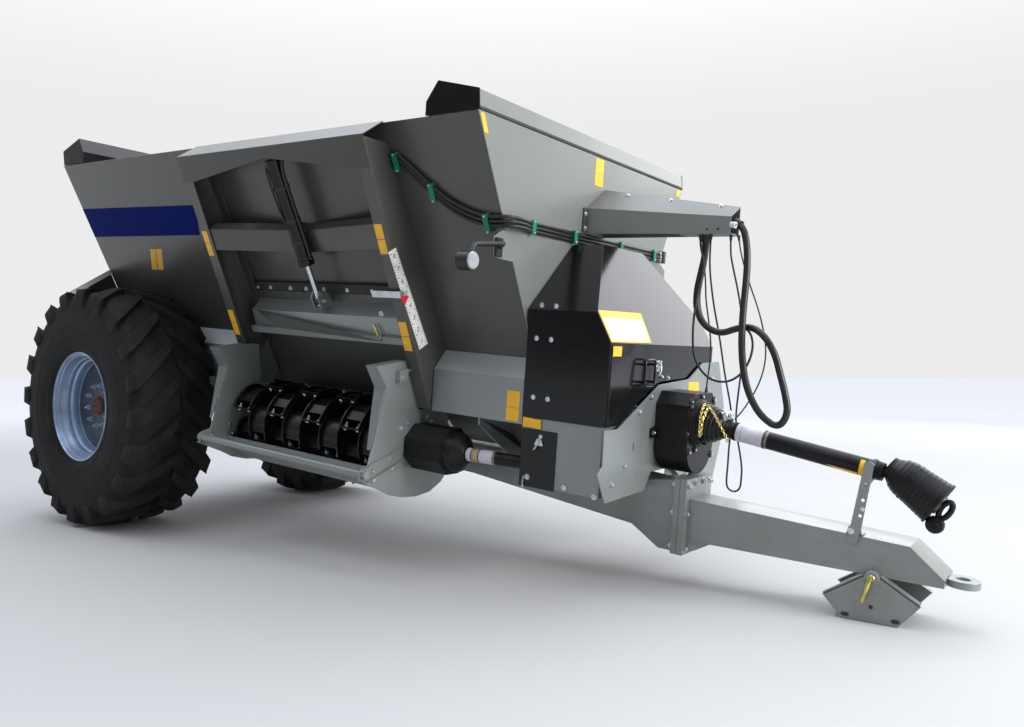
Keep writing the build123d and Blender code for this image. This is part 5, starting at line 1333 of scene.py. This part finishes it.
# ---------------------------------------------------------------- hose clamps: two halves, a cover strip and a bolt
cl = Mesh()
HZ = (2006, 1987, 1968)
for y in (-598, -227, 252, 656):
    cl.box(3168.3, 3184, y - 14, y + 14, 1956, 2018, 0)
    cl.box(3184.6, 3197, y - 14, y + 14, 1956, 2018, 0)
    cl.box(3197, 3199.5, y - 15, y + 15, 1953, 2021, 0)
    for z in (1961, 2013):
        cl.bolt((3199.5, y, z), (1, 0, 0), 5.5, 1, False, 2)
for x, z in ((2622, 2290), (2800, 2150), (3085, 2009)):
    wn_ = Vector(WALL_N)
    for o0, o1, h, mm in ((0.3, 16, 14, 0), (16.6, 29, 14, 0), (29, 31.5, 15, 0)):
        p = [Vector(on_wall(x, z + 18, o0)), Vector(on_wall(x, z - 62, o0))]
        q = [p[0] + Vector((-h, 0, 0)), p[0] + Vector((h, 0, 0)), p[1] + Vector((h, 0, 0)), p[1] + Vector((-h, 0, 0))]
        cl.prism(q, wn_ * (o1 - o0), mm)
    for zz in (z + 12, z - 56):
        cl.bolt(on_wall(x, zz, 31.5), WALL_N, 5.5, 1, False, 2)
cl.box(3168.3, 3203, 766.5, 792, 1952, 2024, 2)
for z in HZ:
    cl.lathe((3184, 762, z), (0, -1, 0), [(9.5, 0), (13.5, 0), (13.5, 20), (11, 22), (9.5, 22)], 6, 1, closed=True)
    cl.lathe((3184, 792, z), (0, 1, 0), [(0, 0), (12, 0), (12, 10), (8, 12), (8, 20), (0, 20)], 6, 1)
cl.make("hose_clamp_blocks", "spreader", "clamp_green", [GREEN, ZINC, PAINT_SHADED], 1.2, 2, 32.0, nodes=("hose_clamps",))

# upstanding fold of the cross beam
fold = Mesh()
for xa, ya, xb, yb in ((1131, -972, 1820, -838), (1820, -838, 2509, -972)):
    a, b = Vector((xa, ya, 1967)), Vector((xb, yb, 1967))
    a2, b2 = Vector((xa, ya + 30, 2008)), Vector((xb, yb + 30, 2008))
    fold.prism([a, b, b2, a2], (0, 3.0, -2.4), 0)
fold.make("cross_beam_fold", "spreader", "body_paint", [PAINT_SHADED], 1.0)

# dark strip under the front spill cover: painted shadow in the gap under its front edge
joint = Mesh()
joint.prism([(3169.9, -1016, 2441.5), (3171.6, -1016, 2441.5), (3170.2, -1016, 2453), (3168.6, -1016, 2453)], (0, 2032, 0))
joint.make("cover_gap_shadow_strip", "spreader", "hose_rubber", [SEAL], 0.0)

# folded lip along the sloping top edge of each rear board, in the lighter paint copy: painted light on its upward face
lips = Mesh()
for s_ in (-1, 1):
    for (ya, za), (yb, zb) in (((wall_y(1735) - 2, 1735), (-976, 1535)),):
        e = Vector((0, yb - ya, zb - za)).normalized()
        n_ = Vector((0, e.z, -e.y))
        if n_.z < 0:
            n_ = -n_
        a, b = Vector((-598, ya, za)), Vector((-598, yb, zb))
        q = [a - n_ * 2, b - n_ * 2, b - n_ * 26 + Vector((22, 0, 0)), a - n_ * 26 + Vector((22, 0, 0))]
        q = [Vector((v.x, v.y * -s_, v.z)) for v in q]
        lips.prism(q, (2.5, 0, 0), 0)
lips.make("rear_board_lips", "spreader", "body_paint", [PAINT_LIT], 0.0)

# film bands on the side shaft's tube
bands = Mesh()
SA, SB = Vector((2845.0, -555.0, 850.0)), Vector((3172.0, -527.0, 855.0))
SD = (SB - SA).normalized()
for d0, d1, r, mm in ((6, 34, 34.2, 0), (34, 40, 34.8, 1), (40, 78, 34.6, 2), (78, 84, 35.0, 1), (84, 162, 34.4, 0), (162, 178, 33.8, 3)):
    bands.lathe(SA, SD, [(33.1, d0), (r, d0 + 0.4), (r, d1 - 0.4), (33.1, d1)], 40, mm, closed=True)
bands.make("side_shaft_films", "spreader", "guard_plastic", [LILAC, SATIN, PAPER, WORN], 0.0)


# ---------------------------------------------------------------- floor and light
me = bpy.data.meshes.new("floor")
me.from_pydata([(-60, -60, -0.001), (60, -60, -0.001), (60, 60, -0.001), (-60, 60, -0.001)], [], [(0, 1, 2, 3)])
floor = bpy.data.objects.new("floor", me)
SCENE.collection.objects.link(floor)
FLOOR = Mat("pale_floor", (0.46, 0.46, 0.46, 1), rough=0.85, rough_var=0.05, var=0.015, var_scale=0.6, fine=0.01, fine_scale=30.0, spec=0.2).m
# the floor is a little paler away from the object
fn = FLOOR.node_tree
ftc = fn.nodes.new("ShaderNodeTexCoord")
flen = fn.nodes.new("ShaderNodeVectorMath")
flen.operation = "LENGTH"
fn.links.new(ftc.outputs["Object"], flen.inputs[0])
frm = fn.nodes.new("ShaderNodeMapRange")
frm.interpolation_type = "SMOOTHSTEP"
for k, v in (("From Min", 5.0), ("From Max", 16.0), ("To Min", 0.46), ("To Max", 0.78)):
    frm.inputs[k].default_value = v
fn.links.new(flen.outputs["Value"], frm.inputs["Value"])
fcb = fn.nodes.new("ShaderNodeCombineColor")
for i in range(3):
    fn.links.new(frm.outputs["Result"], fcb.inputs[i])
fn.links.new(fcb.outputs["Color"], fn.nodes["Principled BSDF"].inputs["Base Color"])
me.materials.append(FLOOR)
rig.stage(floor)

world = bpy.data.worlds.new("studio")
SCENE.world = world
world.use_nodes = True
wn = world.node_tree
bg = wn.nodes["Background"]
wtc = wn.nodes.new("ShaderNodeTexCoord")
# the backdrop side of the dome is pale, the side behind the camera dimmer, and the zenith brightest
dot = wn.nodes.new("ShaderNodeVectorMath")
dot.operation = "DOT_PRODUCT"
dot.inputs[1].default_value = (-0.594, 0.804, 0.0)
wn.links.new(wtc.outputs["Generated"], dot.inputs[0])
side = wn.nodes.new("ShaderNodeMapRange")
side.interpolation_type = "SMOOTHSTEP"
for k, v in (("From Min", -0.2), ("From Max", 0.75), ("To Min", 0.14), ("To Max", 0.84)):
    side.inputs[k].default_value = v
wn.links.new(dot.outputs["Value"], side.inputs["Value"])
wsep = wn.nodes.new("ShaderNodeSeparateXYZ")
wn.links.new(wtc.outputs["Generated"], wsep.inputs[0])
top = wn.nodes.new("ShaderNodeMapRange")
top.interpolation_type = "SMOOTHSTEP"
for k, v in (("From Min", 0.25), ("From Max", 0.9), ("To Min", 0.0), ("To Max", 1.2)):
    top.inputs[k].default_value = v
wn.links.new(wsep.outputs["Z"], top.inputs["Value"])
add = wn.nodes.new("ShaderNodeMath")
add.operation = "ADD"
wn.links.new(side.outputs["Result"], add.inputs[0])
wn.links.new(top.outputs["Result"], add.inputs[1])
tint = wn.nodes.new("ShaderNodeMix")
tint.data_type = "RGBA"
tint.inputs[6].default_value = (1.0, 1.0, 1.0, 1)
tint.inputs[7].default_value = (0.90, 0.95, 1.06, 1)
wn.links.new(top.outputs["Result"], tint.inputs["Factor"])
wn.links.new(tint.outputs[2], bg.inputs["Color"])
wn.links.new(add.outputs[0], bg.inputs["Strength"])


def area(name, at, target, size, power, colour=(1, 1, 1)):
    l = bpy.data.lights.new(name, "AREA")
    l.shape = "RECTANGLE"
    l.size, l.size_y = size
    l.energy = power
    l.color = colour
    o = bpy.data.objects.new(name, l)
    SCENE.collection.objects.link(o)
    o.location = at
    o.rotation_mode = "QUATERNION"
    o.rotation_quaternion = (Vector(target) - Vector(at)).to_track_quat("-Z", "Y")
    return o


area("overhead", (-0.5, 0.5, 8.0), (0, 0, 0), (9, 6), 380, (0.98, 0.99, 1.0))
area("front_soft", (11.0, 0.5, 3.6), (1.0, 0, 1.0), (4, 4.5), 1200)
area("far_sky", (2.6, 10.5, 6.2), (1.0, 0, 1.5), (9, 5.5), 400, (0.94, 0.97, 1.0))
SCENE.view_settings.view_transform = "Standard"
SCENE.view_settings.look = "None"

bpy.context.view_layer.update()
new_lo, new_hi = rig.bounds()
json.dump({"cad": [list(CAD_LO), list(CAD_HI)], "visual": [list(new_lo), list(new_hi)]}, open("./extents.json", "w"))
